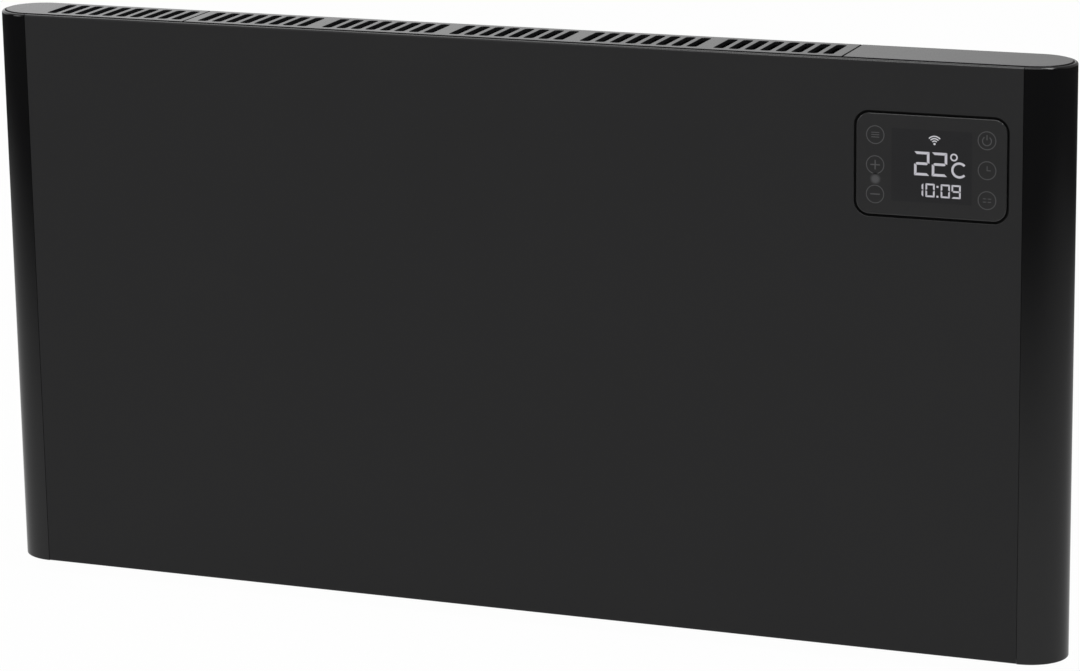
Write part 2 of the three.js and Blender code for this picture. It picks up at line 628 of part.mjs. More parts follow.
/** A top cover: plate, two rails below it, and clips under the panels' ledges. */
function topCover(name, outline, slots, railFrom, railTo, surface) {
  const plate = prismZ(outline, TOP - COVER_THICKNESS, TOP, slots);
  const parts = [plate];
  const railTop = TOP - COVER_THICKNESS / 2;
  const railLow = TOP - COVER_THICKNESS - RAIL_DEPTH;
  const clipTop = LEDGE_TOP - SHEET - GAP;
  for (const [face, inward] of [[FRONT, 1], [0, -1]]) {
    const outside = face + inward * RAIL_OFFSET;
    const inside = outside + inward * RAIL_THICKNESS;
    const clipEnd = outside - inward * CLIP_REACH;
    const clipRoot = outside + (inward * RAIL_THICKNESS) / 2;
    const span = (a, b) => [Math.min(a, b), Math.max(a, b)];
    parts.push(block(railFrom, railTo, ...span(outside, inside), railLow, railTop));
    for (const start of [railFrom + CLIP_END_MARGIN, railTo - CLIP_END_MARGIN - CLIP_LENGTH]) {
      parts.push(block(
        start, start + CLIP_LENGTH, ...span(clipEnd, clipRoot), clipTop - CLIP_HEIGHT, clipTop));
    }
  }
  return piece(name, join(...parts), surface);
}

/** Outline of an end cover in (x, y): straight at the joint and rounded at the casing's end. */
function endCoverOutline(sign) {
  const joint = sign * (JOINT_X + COVER_JOINT / 2);
  const [from, to] = sign === RIGHT ? [-90, 90] : [270, 90];
  return [
    at(joint, FRONT + COVER_INSET),
    ...arc(sign * SEAM_X, MIDDLE, END_WIDTH - COVER_INSET, BODY_DEPTH / 2 - COVER_INSET,
      from, to, END_STEPS),
    at(joint, -COVER_INSET),
  ];
}

function topCoverLeft() {
  const first = -SEAM_X + FIRST_SLOT_MARGIN;
  const last = -JOINT_X - COVER_JOINT / 2 - SLOT_MARGIN;
  const count = copiesIn(last - first, SLOT_WIDTH, SLOT_PITCH);
  const slots = Array.from({ length: count }, (_, i) => slot(first + i * SLOT_PITCH));
  return topCover('top_cover_left', endCoverOutline(LEFT), slots,
    -SEAM_X + SEAM_GAP, -JOINT_X - COVER_JOINT, SATIN_BLACK);
}

function topCoverRight() {
  return topCover('top_cover_right', endCoverOutline(RIGHT), [],
    JOINT_X + COVER_JOINT, SEAM_X - SEAM_GAP, SATIN_BLACK);
}

function topGrille() {
  const half = JOINT_X - COVER_JOINT / 2;
  const groupWidth = (SLOTS_PER_GROUP - 1) * SLOT_PITCH + SLOT_WIDTH;
  const groupPitch = groupWidth + GROUP_SPACE - (SLOT_PITCH - SLOT_WIDTH);
  const groups = copiesIn(2 * (half - SLOT_MARGIN), groupWidth, groupPitch);
  const first = -((groups - 1) * groupPitch + groupWidth) / 2;
  const slots = [];
  for (let group = 0; group < groups; group += 1) {
    for (let i = 0; i < SLOTS_PER_GROUP; i += 1) {
      slots.push(slot(first + group * groupPitch + i * SLOT_PITCH));
    }
  }
  const outline = rectangle(0, MIDDLE, 2 * half, BODY_DEPTH - 2 * COVER_INSET);
  return topCover('top_grille', outline, slots, -half + COVER_JOINT, half - COVER_JOINT,
    SATIN_BLACK);
}

/** Intake grille on the lower lips, below the heating duct. */
function bottomIntakeGrille() {
  const left = -PANEL_HALF_WIDTH;
  const right = JOINT_X;
  const length = BODY_DEPTH - 2 * (LIP_WIDTH + INTAKE_MARGIN);
  const count = copiesIn(right - left - 2 * INTAKE_END_MARGIN, INTAKE_WIDTH, INTAKE_PITCH);
  const first = (left + right - (count - 1) * INTAKE_PITCH) / 2;
  const slots = Array.from({ length: count }, (_, i) => prismZ(
    rectangle(first + i * INTAKE_PITCH, MIDDLE, INTAKE_WIDTH, length), BOTTOM, RECESS_Z));
  const plate = block(left, right, FRONT + FLOOR_INSET, -FLOOR_INSET,
    FLOOR_Z, FLOOR_Z + FLOOR_SHEET);
  const flangeFront = REAR_FLANGE_BACK - FLOOR_SHEET;
  const flangeLeft = left + TONGUE_WIDTH + GAP;
  const foot = block(flangeLeft, right, -FLOOR_INSET - FLOOR_SHEET, REAR_FLANGE_BACK,
    FLOOR_Z, FLOOR_Z + FLOOR_SHEET);
  const flange = block(flangeLeft, right, flangeFront, REAR_FLANGE_BACK,
    FLOOR_Z, FLOOR_Z + FLOOR_SHEET + FLOOR_FLANGE);
  const pilots = rearScrews().filter(({ name }) => name !== 'floor_screw_right')
    .map(({ x, z }) => prismY(circle(x, z, SCREW_HOLE_RADIUS, SCREW_SIDES), MIDDLE, 0));
  return piece('bottom_intake_grille', cut(
    join(plate, foot, flange), ...slots, ...pilots), BLACK_STEEL);
}

/** Recessed cover below the electronics, with the openings for the mains side. */
function bottomConnectionCover() {
  const left = JOINT_X + COVER_JOINT;
  const right = PANEL_HALF_WIDTH;
  const foot = LIP_WIDTH - GAP;
  const low = FLOOR_Z;
  const high = RECESS_Z + FLOOR_SHEET;
  const section = [
    at(FRONT + FLOOR_INSET, low), at(FRONT + foot, low), at(FRONT + foot, RECESS_Z),
    at(-foot, RECESS_Z), at(-foot, low), at(REAR_FLANGE_BACK, low),
    at(REAR_FLANGE_BACK, high + FLOOR_FLANGE),
    at(REAR_FLANGE_BACK - FLOOR_SHEET, high + FLOOR_FLANGE),
    at(REAR_FLANGE_BACK - FLOOR_SHEET, high),
    at(FRONT + foot - FLOOR_SHEET, high), at(FRONT + foot - FLOOR_SHEET, low + FLOOR_SHEET),
    at(FRONT + FLOOR_INSET, low + FLOOR_SHEET),
  ];
  const through = (points) => prismZ(points, low, high + FLOOR_SHEET);
  const vents = Array.from({ length: SENSOR_VENTS }, (_, i) => through(rectangle(
    SENSOR_X + (i - (SENSOR_VENTS - 1) / 2) * SENSOR_VENT.pitch, MIDDLE,
    SENSOR_VENT.x, SENSOR_VENT.y)));
  const tongueRoom = block(right - TONGUE_WIDTH - GAP, right + OVERCUT, -FLOOR_INSET, 0,
    low - OVERCUT, high + FLOOR_FLANGE + OVERCUT);
  return piece('bottom_connection_cover', cut(
    prismX(section, left, right),
    tongueRoom,
    through(rectangle(ROCKER_X, MIDDLE, ROCKER_CUTOUT.x, ROCKER_CUTOUT.y)),
    through(circle(GLAND_X, MIDDLE, GLAND_HOLE_RADIUS, ROUND_SIDES)),
    ...vents,
    prismY(circle(RECESS_SCREW_X, RECESS_SCREW_Z, SCREW_HOLE_RADIUS, SCREW_SIDES), MIDDLE, 0),
  ), BLACK_STEEL);
}

/** A pan-head screw, its head behind the back panel and its shank towards the front. */
function rearScrew({ name, x, z }) {
  const head = prismY(circle(0, 0, SCREW_HEAD_RADIUS, SCREW_SIDES), GAP, GAP + SCREW_HEAD);
  const shank = prismY(circle(0, 0, SCREW_RADIUS, SCREW_SIDES), -SCREW_LENGTH, 2 * GAP);
  const mesh = piece(name, join(head, shank), ZINC);
  mesh.position.set(x, 0, z);
  return mesh;
}

function casing() {
  return assembly(0, 0, 0,
    frontPanel(), backPanel(), topCoverLeft(), topGrille(), topCoverRight(),
    bottomIntakeGrille(), bottomConnectionCover(),
    ...SIDES.map(([side, sign]) => endProfile(`${side}_end_profile`, sign)),
    ...rearScrews().map(rearScrew));
}

// ---------------------------------------------------------------------------------------------
// Display unit: y = 0 is the casing's front face here
// ---------------------------------------------------------------------------------------------

const HOUSING_FRONT = SHEET + GAP; // behind the panel
const POCKET_FLOOR = HOUSING_FRONT + POCKET_DEPTH;
const HOUSING_INSIDE = POCKET_FLOOR + HOUSING_FLOOR;
const HOUSING_BACK = HOUSING_FRONT + HOUSING_DEPTH;
const DISPLAY_BOARD_FRONT = HOUSING_INSIDE + GAP;
const DISPLAY_BOARD_BACK = DISPLAY_BOARD_FRONT + BOARD_THICKNESS;

function displayGlass() {
  const outline = roundedRectangle(0, 0, DISPLAY_WIDTH, DISPLAY_HEIGHT, DISPLAY_RADIUS,
    CORNER_STEPS);
  const back = POCKET_FLOOR - GAP;
  return piece('display_glass', prismY(outline, back - DISPLAY_GLASS, back), BLACK_GLASS);
}

function displayHousing() {
  const flange = prismY(rectangle(0, 0, OPENING_WIDTH + 2 * BEZEL_LAP,
    OPENING_HEIGHT + 2 * BEZEL_LAP), HOUSING_FRONT, HOUSING_FRONT + BEZEL_FLANGE);
  const body = prismY(rectangle(0, 0, OPENING_WIDTH + 2 * HOUSING_WALL,
    OPENING_HEIGHT + 2 * HOUSING_WALL), HOUSING_FRONT, HOUSING_BACK);
  const pocket = prismY(roundedRectangle(0, 0, DISPLAY_WIDTH + 2 * GAP, DISPLAY_HEIGHT + 2 * GAP,
    DISPLAY_RADIUS + GAP, CORNER_STEPS), HOUSING_FRONT - OVERCUT, POCKET_FLOOR);
  const window = block(-SCREEN_WIDTH / 2 - GAP, SCREEN_WIDTH / 2 + GAP, 0, HOUSING_BACK,
    -SCREEN_HEIGHT / 2 - GAP, SCREEN_HEIGHT / 2 + GAP);
  const hollow = block(-OPENING_WIDTH / 2, OPENING_WIDTH / 2, HOUSING_INSIDE,
    HOUSING_BACK + OVERCUT, -OPENING_HEIGHT / 2, OPENING_HEIGHT / 2);
  return piece('display_housing', cut(join(flange, body), pocket, window, hollow), SATIN_BLACK);
}

function displayScreen() {
  const front = POCKET_FLOOR;
  return piece('display_screen', block(-SCREEN_WIDTH / 2, SCREEN_WIDTH / 2,
    front, front + SCREEN_THICKNESS, -SCREEN_HEIGHT / 2, SCREEN_HEIGHT / 2), LCD_GREY);
}

function displayBoard() {
  const half = { x: OPENING_WIDTH / 2 - BOARD_INSET, z: OPENING_HEIGHT / 2 - BOARD_INSET };
  return piece('display_board', block(-half.x, half.x, DISPLAY_BOARD_FRONT, DISPLAY_BOARD_BACK,
    -half.z, half.z), GREEN_BOARD);
}

function wirelessModule() {
  const { x, y, z } = RADIO_SIZE;
  const mesh = piece('wireless_module', block(-x / 2, x / 2, 0, y, -z / 2, z / 2), ZINC);
  mesh.position.set(RADIO_OFFSET.x, DISPLAY_BOARD_BACK + GAP, RADIO_OFFSET.z);
  return mesh;
}

function displayUnit() {
  return assembly(DISPLAY_X, FRONT, DISPLAY_Z,
    displayGlass(), displayHousing(), displayScreen(), displayBoard(), wirelessModule());
}

// ---------------------------------------------------------------------------------------------
// Electronics bay
// ---------------------------------------------------------------------------------------------

/** Sheet wall between the heating duct and the electronics, with the hole for the leads. */
function bulkhead() {
  const wall = block(BULKHEAD_X, BULKHEAD_X + BULKHEAD_SHEET, PANEL_BACK + BULKHEAD_FRONT,
    REAR_FLANGE_BACK, BULKHEAD_BOTTOM, BULKHEAD_TOP);
  const foot = block(BULKHEAD_X, BULKHEAD_X + BULKHEAD_FLANGE, REAR_FLANGE_BACK - BULKHEAD_SHEET,
    REAR_FLANGE_BACK, BULKHEAD_BOTTOM + FLOOR_FLANGE, BULKHEAD_TOP);
  const hole = prismX(circle(TERMINAL_Y, TERMINAL_Z, LEAD_HOLE_RADIUS, ROUND_HOLE_SIDES),
    BULKHEAD_X - OVERCUT, BULKHEAD_X + BULKHEAD_SHEET + OVERCUT);
  const flangeRoom = block(BULKHEAD_X - OVERCUT, BULKHEAD_X + BULKHEAD_SHEET + OVERCUT,
    REAR_FLANGE_BACK - FLOOR_SHEET - GAP, 0,
    BULKHEAD_BOTTOM - OVERCUT, BULKHEAD_BOTTOM + FLOOR_FLANGE);
  return piece('bulkhead', cut(join(wall, foot), hole, flangeRoom), ZINC);
}

function powerTray() {
  const { w, h } = { w: TRAY_WIDTH / 2, h: TRAY_HEIGHT / 2 };
  const plate = block(TRAY_X - w, TRAY_X + w, TRAY_FRONT, BACK_INSIDE - GAP,
    TRAY_Z - h, TRAY_Z + h);
  const posts = [];
  for (const sx of [-1, 1]) {
    for (const sz of [-1, 1]) {
      const x = TRAY_X + sx * (BOARD_WIDTH / 2 - POST_INSET);
      const z = BOARD_Z + sz * (BOARD_HEIGHT / 2 - POST_INSET);
      posts.push(prismY(circle(x, z, POST_RADIUS, SCREW_SIDES),
        TRAY_FRONT - POST_HEIGHT, TRAY_FRONT + TRAY_THICKNESS / 2));
    }
  }
  return piece('power_tray', join(plate, ...posts), GREY_PLASTIC);
}

function powerBoard() {
  return piece('power_board', block(TRAY_X - BOARD_WIDTH / 2, TRAY_X + BOARD_WIDTH / 2,
    BOARD_FRONT, BOARD_BACK, BOARD_Z - BOARD_HEIGHT / 2, BOARD_Z + BOARD_HEIGHT / 2),
  GREEN_BOARD);
}

/** A component that stands on the power board. */
function boardComponent(name, place, geometry, surface) {
  const mesh = piece(name, geometry, surface);
  mesh.position.set(TRAY_X + place.x, BOARD_FRONT - GAP, BOARD_Z + place.z);
  return mesh;
}

function relay() {
  const { x, y, z } = RELAY_SIZE;
  return boardComponent('relay', RELAY_AT, block(-x / 2, x / 2, -y, 0, -z / 2, z / 2),
    BLUE_PLASTIC);
}

function transformer() {
  const { x, y, z } = TRANSFORMER_SIZE;
  const core = block(-x / 2, x / 2, -y, 0, -z / 2, z / 2);
  const winding = block(-x / 4, x / 4, -y + OVERCUT, -OVERCUT,
    -z / 2 - TRANSFORMER_BOBBIN, z / 2 + TRANSFORMER_BOBBIN);
  return boardComponent('transformer', TRANSFORMER_AT, join(core, winding), AMBER_PLASTIC);
}

function filterCapacitor() {
  const { x, y, z } = CAPACITOR_SIZE;
  return boardComponent('filter_capacitor', CAPACITOR_AT,
    block(-x / 2, x / 2, -y, 0, -z / 2, z / 2), AMBER_PLASTIC);
}

/** Screw terminals, standing on the tray, with a rib between each two ways. */
function terminalBlock() {
  const { x, y, z } = TERMINAL_SIZE;
  const whole = block(-x / 2, x / 2, -y / 2, y / 2, -z / 2, z / 2);
  const pitch = z / TERMINAL_WAYS;
  const notches = Array.from({ length: TERMINAL_WAYS }, (_, i) => {
    const middle = -z / 2 + (i + 0.5) * pitch;
    const half = (pitch - TERMINAL_RIB) / 2;
    return block(0, x, -y, -y / 2 + TERMINAL_NOTCH, middle - half, middle + half);
  });
  const mesh = piece('terminal_block', cut(whole, ...notches), CERAMIC);
  mesh.position.set(TERMINAL_X, TERMINAL_Y, TERMINAL_Z);
  return mesh;
}

/** Flat cable from the display board down to the power board. */
function signalRibbon() {
  const upper = { y: FRONT + DISPLAY_BOARD_BACK + GAP, z: DISPLAY_Z - OPENING_HEIGHT / 4 };
  const lower = { y: BOARD_FRONT - GAP, z: BOARD_Z + BOARD_HEIGHT / 4 };
  const bendY = (upper.y + lower.y) / 2;
  const half = RIBBON_THICKNESS / 2;
  const side = (offset) => [
    at(upper.y, upper.z + offset),
    ...arc(bendY - RIBBON_BEND, upper.z - RIBBON_BEND, RIBBON_BEND + offset, RIBBON_BEND + offset,
      90, 0, RIBBON_STEPS),
    ...arc(bendY + RIBBON_BEND, lower.z + RIBBON_BEND, RIBBON_BEND - offset, RIBBON_BEND - offset,
      180, 270, RIBBON_STEPS),
    at(lower.y, lower.z + offset),
  ];
  const outline = [...side(half), ...side(-half).reverse()];
  return piece('signal_ribbon', prismX(
    outline, TRAY_X - RIBBON_WIDTH / 2, TRAY_X + RIBBON_WIDTH / 2), GREY_PLASTIC);
}

function electronics() {
  return assembly(0, 0, 0, bulkhead(), powerTray(), powerBoard(), relay(), transformer(),
    filterCapacitor(), terminalBlock(), signalRibbon());
}

// ---------------------------------------------------------------------------------------------
// Heating: the origin of this group is the middle of the heating rod
// ---------------------------------------------------------------------------------------------

const ROD_HALF = ELEMENT_HALF + ROD_OVERHANG;
const PIN_END = ROD_HALF + GAP + INSULATOR_LENGTH + PIN_LENGTH;

/** Finned body: a core round the rod, and fins fanned out above and below it. */
function elementFins() {
  const half = ELEMENT_HALF - ELEMENT_END_SPACE;
  const fins = [];
  for (const up of [0, 180]) {
    for (let i = 0; i < FIN_COUNT; i += 1) {
      const angle = up - FIN_SPREAD / 2 + (FIN_SPREAD * i) / (FIN_COUNT - 1);
      fins.push(prismX(rectangle(0, (FIN_ROOT + FIN_REACH) / 2, FIN_THICKNESS,
        FIN_REACH - FIN_ROOT), -half, half).rotateX(THREE.MathUtils.degToRad(angle)));
    }
  }
  const core = prismX(circle(0, 0, CORE_RADIUS, ROUND_SIDES), -half, half);
  const bore = prismX(circle(0, 0, ROD_HOLE_RADIUS, ROUND_SIDES),
    -half - OVERCUT, half + OVERCUT);
  return piece('element_fins', cut(join(core, ...fins), bore), ALUMINIUM);
}

function heatingRod() {
  return piece('heating_rod', prismX(circle(0, 0, ROD_RADIUS, ROUND_SIDES), -ROD_HALF, ROD_HALF),
    ZINC);
}

/** Ceramic end of the rod, with its terminal pin. */
function rodInsulator(side, sign) {
  const start = ROD_HALF + GAP;
  const span = (a, b) => (sign === RIGHT ? [a, b] : [-b, -a]);
  const bead = prismX(circle(0, 0, INSULATOR_RADIUS, ROUND_SIDES),
    ...span(start, start + INSULATOR_LENGTH));
  const pin = prismX(circle(0, 0, PIN_RADIUS, SCREW_SIDES), ...span(start + OVERCUT, PIN_END));
  return piece(`rod_insulator_${side}`, join(bead, pin), CERAMIC);
}

/** Bush between the rod and a bracket, its flange on the finned side. */
function elementBush(side, sign) {
  const flangeInside = -BRACKET_SHEET / 2 - GAP;
  const profile = [
    at(ROD_HOLE_RADIUS, flangeInside - BUSH_FLANGE),
    at(BUSH_FLANGE_RADIUS, flangeInside - BUSH_FLANGE),
    at(BUSH_FLANGE_RADIUS, flangeInside),
    at(BUSH_RADIUS, flangeInside),
    at(BUSH_RADIUS, flangeInside - BUSH_FLANGE + BUSH_LENGTH),
    at(ROD_HOLE_RADIUS, flangeInside - BUSH_FLANGE + BUSH_LENGTH),
  ];
  const mesh = piece(`element_bush_${side}`,
    turned(profile, ROUND_SIDES).rotateY((sign * Math.PI) / 2), SILICONE);
  mesh.position.x = sign * ELEMENT_HALF;
  return mesh;
}

/** Bracket that carries the element: foot on the back panel, web, and flange for the baffle. */
function elementBracket(side, sign) {
  const back = REAR_FLANGE_BACK - ELEMENT_Y;
  const front = BAFFLE_BACK + GAP - ELEMENT_Y;
  const half = BRACKET_SHEET / 2;
  const outline = [
    at(-half, front), at(BRACKET_FOOT, front), at(BRACKET_FOOT, front + BRACKET_SHEET),
    at(half, front + BRACKET_SHEET), at(half, back - BRACKET_SHEET),
    at(BRACKET_FOOT, back - BRACKET_SHEET), at(BRACKET_FOOT, back), at(-half, back)];
  const sheet = prismZ(outline, -BRACKET_HALF_HEIGHT, BRACKET_HALF_HEIGHT);
  const hole = prismX(circle(0, 0, BUSH_HOLE_RADIUS, ROUND_SIDES), -OVERCUT, OVERCUT);
  const whole = cut(sheet, hole);
  const mesh = piece(`element_bracket_${side}`, sign === RIGHT ? whole : mirrored(whole), ZINC);
  mesh.position.x = sign * ELEMENT_HALF;
  return mesh;
}

/** Sheet between the element and the front panel, on the brackets' front flanges. */
function heatBaffle() {
  const half = ELEMENT_HALF + BRACKET_FOOT;
  const back = BAFFLE_BACK - ELEMENT_Y;
  return piece('heat_baffle', block(
    -half, half, back - BAFFLE_SHEET, back, -BAFFLE_BELOW, BAFFLE_ABOVE), ALUMINIUM);
}

/** Bimetal cut-out on the right bracket's web, with its two tabs. */
function thermalCutout() {
  const x = BRACKET_SHEET / 2 + GAP;
  const disc = prismX(circle(0, 0, CUTOUT_RADIUS, ROUND_SIDES), x, x + CUTOUT_THICKNESS);
  const tabs = [-1, 1].map((s) => {
    const z = (s * CUTOUT_RADIUS) / 2;
    return block(x + CUTOUT_THICKNESS - OVERCUT, x + CUTOUT_THICKNESS + CUTOUT_TAB.x,
      -CUTOUT_TAB.y / 2, CUTOUT_TAB.y / 2, z - CUTOUT_TAB.z / 2, z + CUTOUT_TAB.z / 2);
  });
  const mesh = piece('thermal_cutout', join(disc, ...tabs), CERAMIC);
  mesh.position.set(ELEMENT_HALF, 0, CUTOUT_Z);
  return mesh;
}

/** One-shot fuse against the same web. */
function thermalFuse() {
  const x = BRACKET_SHEET / 2 + GAP + FUSE_RADIUS;
  const mesh = piece('thermal_fuse', prismY(circle(x, 0, FUSE_RADIUS, ROUND_SIDES),
    -FUSE_LENGTH / 2, FUSE_LENGTH / 2), ZINC);
  mesh.position.set(ELEMENT_HALF, 0, FUSE_Z);
  return mesh;
}

/** A lead along a smooth route. */
function lead(name, points, steps) {
  const path = new THREE.CatmullRomCurve3(points, false, 'centripetal');
  const section = new THREE.Shape(circle(0, 0, LEAD_RADIUS, LEAD_SIDES));
  const geometry = new THREE.ExtrudeGeometry(section, {
    steps, bevelEnabled: false, extrudePath: path });
  return piece(name, geometry, SILICONE);
}

/** The two leads, from the rod's pins through the bulkhead to the terminals. */
function leads() {
  const end = {
    x: TERMINAL_X - TERMINAL_SIZE.x / 2 - GAP - ELEMENT_X,
    y: TERMINAL_Y - ELEMENT_Y,
    z: TERMINAL_Z - ELEMENT_Z,
  };
  const hole = BULKHEAD_X - ELEMENT_X;
  const pin = PIN_END + GAP;
  const back = BACK_INSIDE - LEAD_CLEARANCE - LEAD_RADIUS - ELEMENT_Y;
  const upper = end.z + LEAD_SPACING / 2;
  const lower = end.z - LEAD_SPACING / 2;
  const turn = LEAD_BEND;
  const v = (x, y, z) => new THREE.Vector3(x, y, z);
  return [
    lead('element_lead_right', [
      v(pin, 0, 0), v(pin + turn / 2, 0, 0), v(hole, end.y, upper),
      v(end.x - turn / 4, end.y, upper), v(end.x, end.y, upper)],
    SHORT_LEAD_STEPS),
    lead('element_lead_left', [
      v(-pin, 0, 0), v(-pin - turn / 2, 0, 0), v(-pin - turn, back / 4, -turn),
      v(-pin - turn, back / 2, -LEAD_DROP / 2), v(-pin, back, -LEAD_DROP), v(0, back, -LEAD_DROP),
      v(hole - LEAD_RISE, back, -LEAD_DROP), v(hole - turn, end.y, lower),
      v(hole, end.y, lower), v(end.x - turn / 4, end.y, lower), v(end.x, end.y, lower)],
    LONG_LEAD_STEPS),
  ];
}

function heating() {
  return assembly(ELEMENT_X, ELEMENT_Y, ELEMENT_Z,
    elementFins(), heatingRod(), heatBaffle(), thermalCutout(), thermalFuse(), ...leads(),
    ...SIDES.flatMap(([side, sign]) => [
      rodInsulator(side, sign), elementBush(side, sign), elementBracket(side, sign)]));
}

// ---------------------------------------------------------------------------------------------
// Mains side: z = 0 is the lower face of the recessed plate here
// ---------------------------------------------------------------------------------------------

/** Snap-in housing of the rocker switch, with its bezel below the plate. */
function rockerHousing() {
  const half = { x: ROCKER_CUTOUT.x / 2 - GAP, y: ROCKER_CUTOUT.y / 2 - GAP };
  const bezel = block(-half.x - BEZEL_OVERLAP, half.x + BEZEL_OVERLAP,
    -half.y - BEZEL_OVERLAP, half.y + BEZEL_OVERLAP, -GAP - BEZEL_THICKNESS, -GAP);
  const body = block(-half.x, half.x, -half.y, half.y, -GAP - BEZEL_THICKNESS / 2, ROCKER_BODY);
  const hollow = block(-half.x + ROCKER_WALL, half.x - ROCKER_WALL,
    -half.y + ROCKER_WALL, half.y - ROCKER_WALL, -ROCKER_BODY, ROCKER_BODY - ROCKER_WALL);
  const sockets = prismY(circle(0, ROCKER_PIVOT, TRUNNION_HOLE_RADIUS, ROUND_SIDES),
    -2 * half.y, 2 * half.y);
  return piece('rocker_housing', cut(join(bezel, body), hollow, sockets), SATIN_BLACK);
}

/** Rocker key with its two trunnions, about the pivot; shown pressed to the on side. */
function rockerKey() {
  const halfWidth = ROCKER_CUTOUT.y / 2 - GAP - ROCKER_WALL - RUN_CLEARANCE;
  const slope = Math.tan(THREE.MathUtils.degToRad(ROCKER_TILT));
  const edge = -ROCKER_APEX + ROCKER_HALF_LENGTH * slope;
  const outline = [
    at(-ROCKER_HALF_LENGTH, edge), at(0, -ROCKER_APEX), at(ROCKER_HALF_LENGTH, edge),
    at(ROCKER_HALF_LENGTH, 0), at(ROCKER_HALF_LENGTH / 2, ROCKER_TOP),
    at(-ROCKER_HALF_LENGTH / 2, ROCKER_TOP), at(-ROCKER_HALF_LENGTH, 0)];
  const key = prismY(outline, -halfWidth, halfWidth);
  const reach = halfWidth + RUN_CLEARANCE + TRUNNION_END;
  const trunnions = prismY(circle(0, 0, TRUNNION_RADIUS, ROUND_SIDES), -reach, reach);
  const mesh = piece('rocker_key', join(key, trunnions), GLOSS_BLACK);
  mesh.position.z = ROCKER_PIVOT;
  mesh.rotation.y = THREE.MathUtils.degToRad(ROCKER_TILT);
  return mesh;
}

/** Cable gland: collar below the plate, neck through it. */
function mainsGland() {
  const profile = [
    at(GLAND_BORE_RADIUS, -GAP - GLAND_COLLAR),
    at(GLAND_COLLAR_RADIUS - GLAND_CHAMFER, -GAP - GLAND_COLLAR),
    at(GLAND_COLLAR_RADIUS, -GAP - GLAND_COLLAR + GLAND_CHAMFER), at(GLAND_COLLAR_RADIUS, -GAP),
    at(GLAND_NECK_RADIUS, -GAP), at(GLAND_NECK_RADIUS, GLAND_NECK),
    at(GLAND_BORE_RADIUS, GLAND_NECK)];
  return piece('mains_gland', turned(profile, ROUND_SIDES), SATIN_BLACK);
}

function glandNut() {
  const low = FLOOR_SHEET + GAP;
  return piece('gland_nut', prismZ(circle(0, 0, NUT_RADIUS, NUT_SIDES), low, low + NUT_THICKNESS,
    [circle(0, 0, GLAND_HOLE_RADIUS, ROUND_SIDES)]), SATIN_BLACK);
}

/** Clip on the plate that grips the room temperature sensor. */
function sensorClip() {
  const { x, y, z } = SENSOR_CLIP;
  const low = FLOOR_SHEET + GAP;
  const body = block(-x / 2, x / 2, -y / 2, y / 2, low, low + z);
  const seat = prismX(circle(0, SENSOR_Z, SENSOR_RADIUS + GAP, ROUND_SIDES), -x, x);
  const mouth = block(-x, x, -SENSOR_CLIP_MOUTH / 2, SENSOR_CLIP_MOUTH / 2, SENSOR_Z, low + 2 * z);
  return piece('sensor_clip', cut(body, seat, mouth), GREY_PLASTIC);
}

function roomSensor() {
  return piece('room_sensor', prismX(circle(0, SENSOR_Z, SENSOR_RADIUS, ROUND_SIDES),
    -SENSOR_LENGTH / 2, SENSOR_LENGTH / 2), ZINC);
}

function mainsSide() {
  const sensorY = SENSOR_VENT.y / 2 + SENSOR_CLIP.y / 2;
  return assembly(0, MIDDLE, RECESS_Z,
    assembly(ROCKER_X, 0, 0, rockerHousing(), rockerKey()),
    assembly(GLAND_X, 0, 0, mainsGland(), glandNut()),
    assembly(SENSOR_X, sensorY, 0, sensorClip(), roomSensor()));
}

// ---------------------------------------------------------------------------------------------
// Wall bracket: y = 0 is the wall
// ---------------------------------------------------------------------------------------------

/** Crossbar against the wall, its ends folded forwards along the uprights. */
function bracketCrossbar() {
  const end = UPRIGHT_X - STEEL / 2 - GAP;
  const tab = -STEEL - CROSSBAR_TAB;
  const outline = [
    at(-end, tab), at(-end + STEEL, tab), at(-end + STEEL, -STEEL), at(end - STEEL, -STEEL),
    at(end - STEEL, tab), at(end, tab), at(end, 0), at(-end, 0)];
  const bar = prismZ(outline, -CROSSBAR_HEIGHT / 2, CROSSBAR_HEIGHT / 2);
  const wallHoles = [-1, 1].map((s) => prismY(
    circle(s * CROSSBAR_HOLE_X, 0, WALL_HOLE_RADIUS, ROUND_HOLE_SIDES), -2 * STEEL, STEEL));
  return piece('bracket_crossbar', cut(bar, ...wallHoles, ...rivetHoles()), BLACK_STEEL);
}

const RIVET_Y = -STEEL - CROSSBAR_TAB / 2;
const RIVET_LEVELS = [['upper', RIVET_SPACING / 2], ['lower', -RIVET_SPACING / 2]];

function rivetHoles() {
  return RIVET_LEVELS.map(([, z]) => prismX(
    circle(RIVET_Y, z, RIVET_HOLE_RADIUS, ROUND_SIDES), -2 * UPRIGHT_X, 2 * UPRIGHT_X));
}

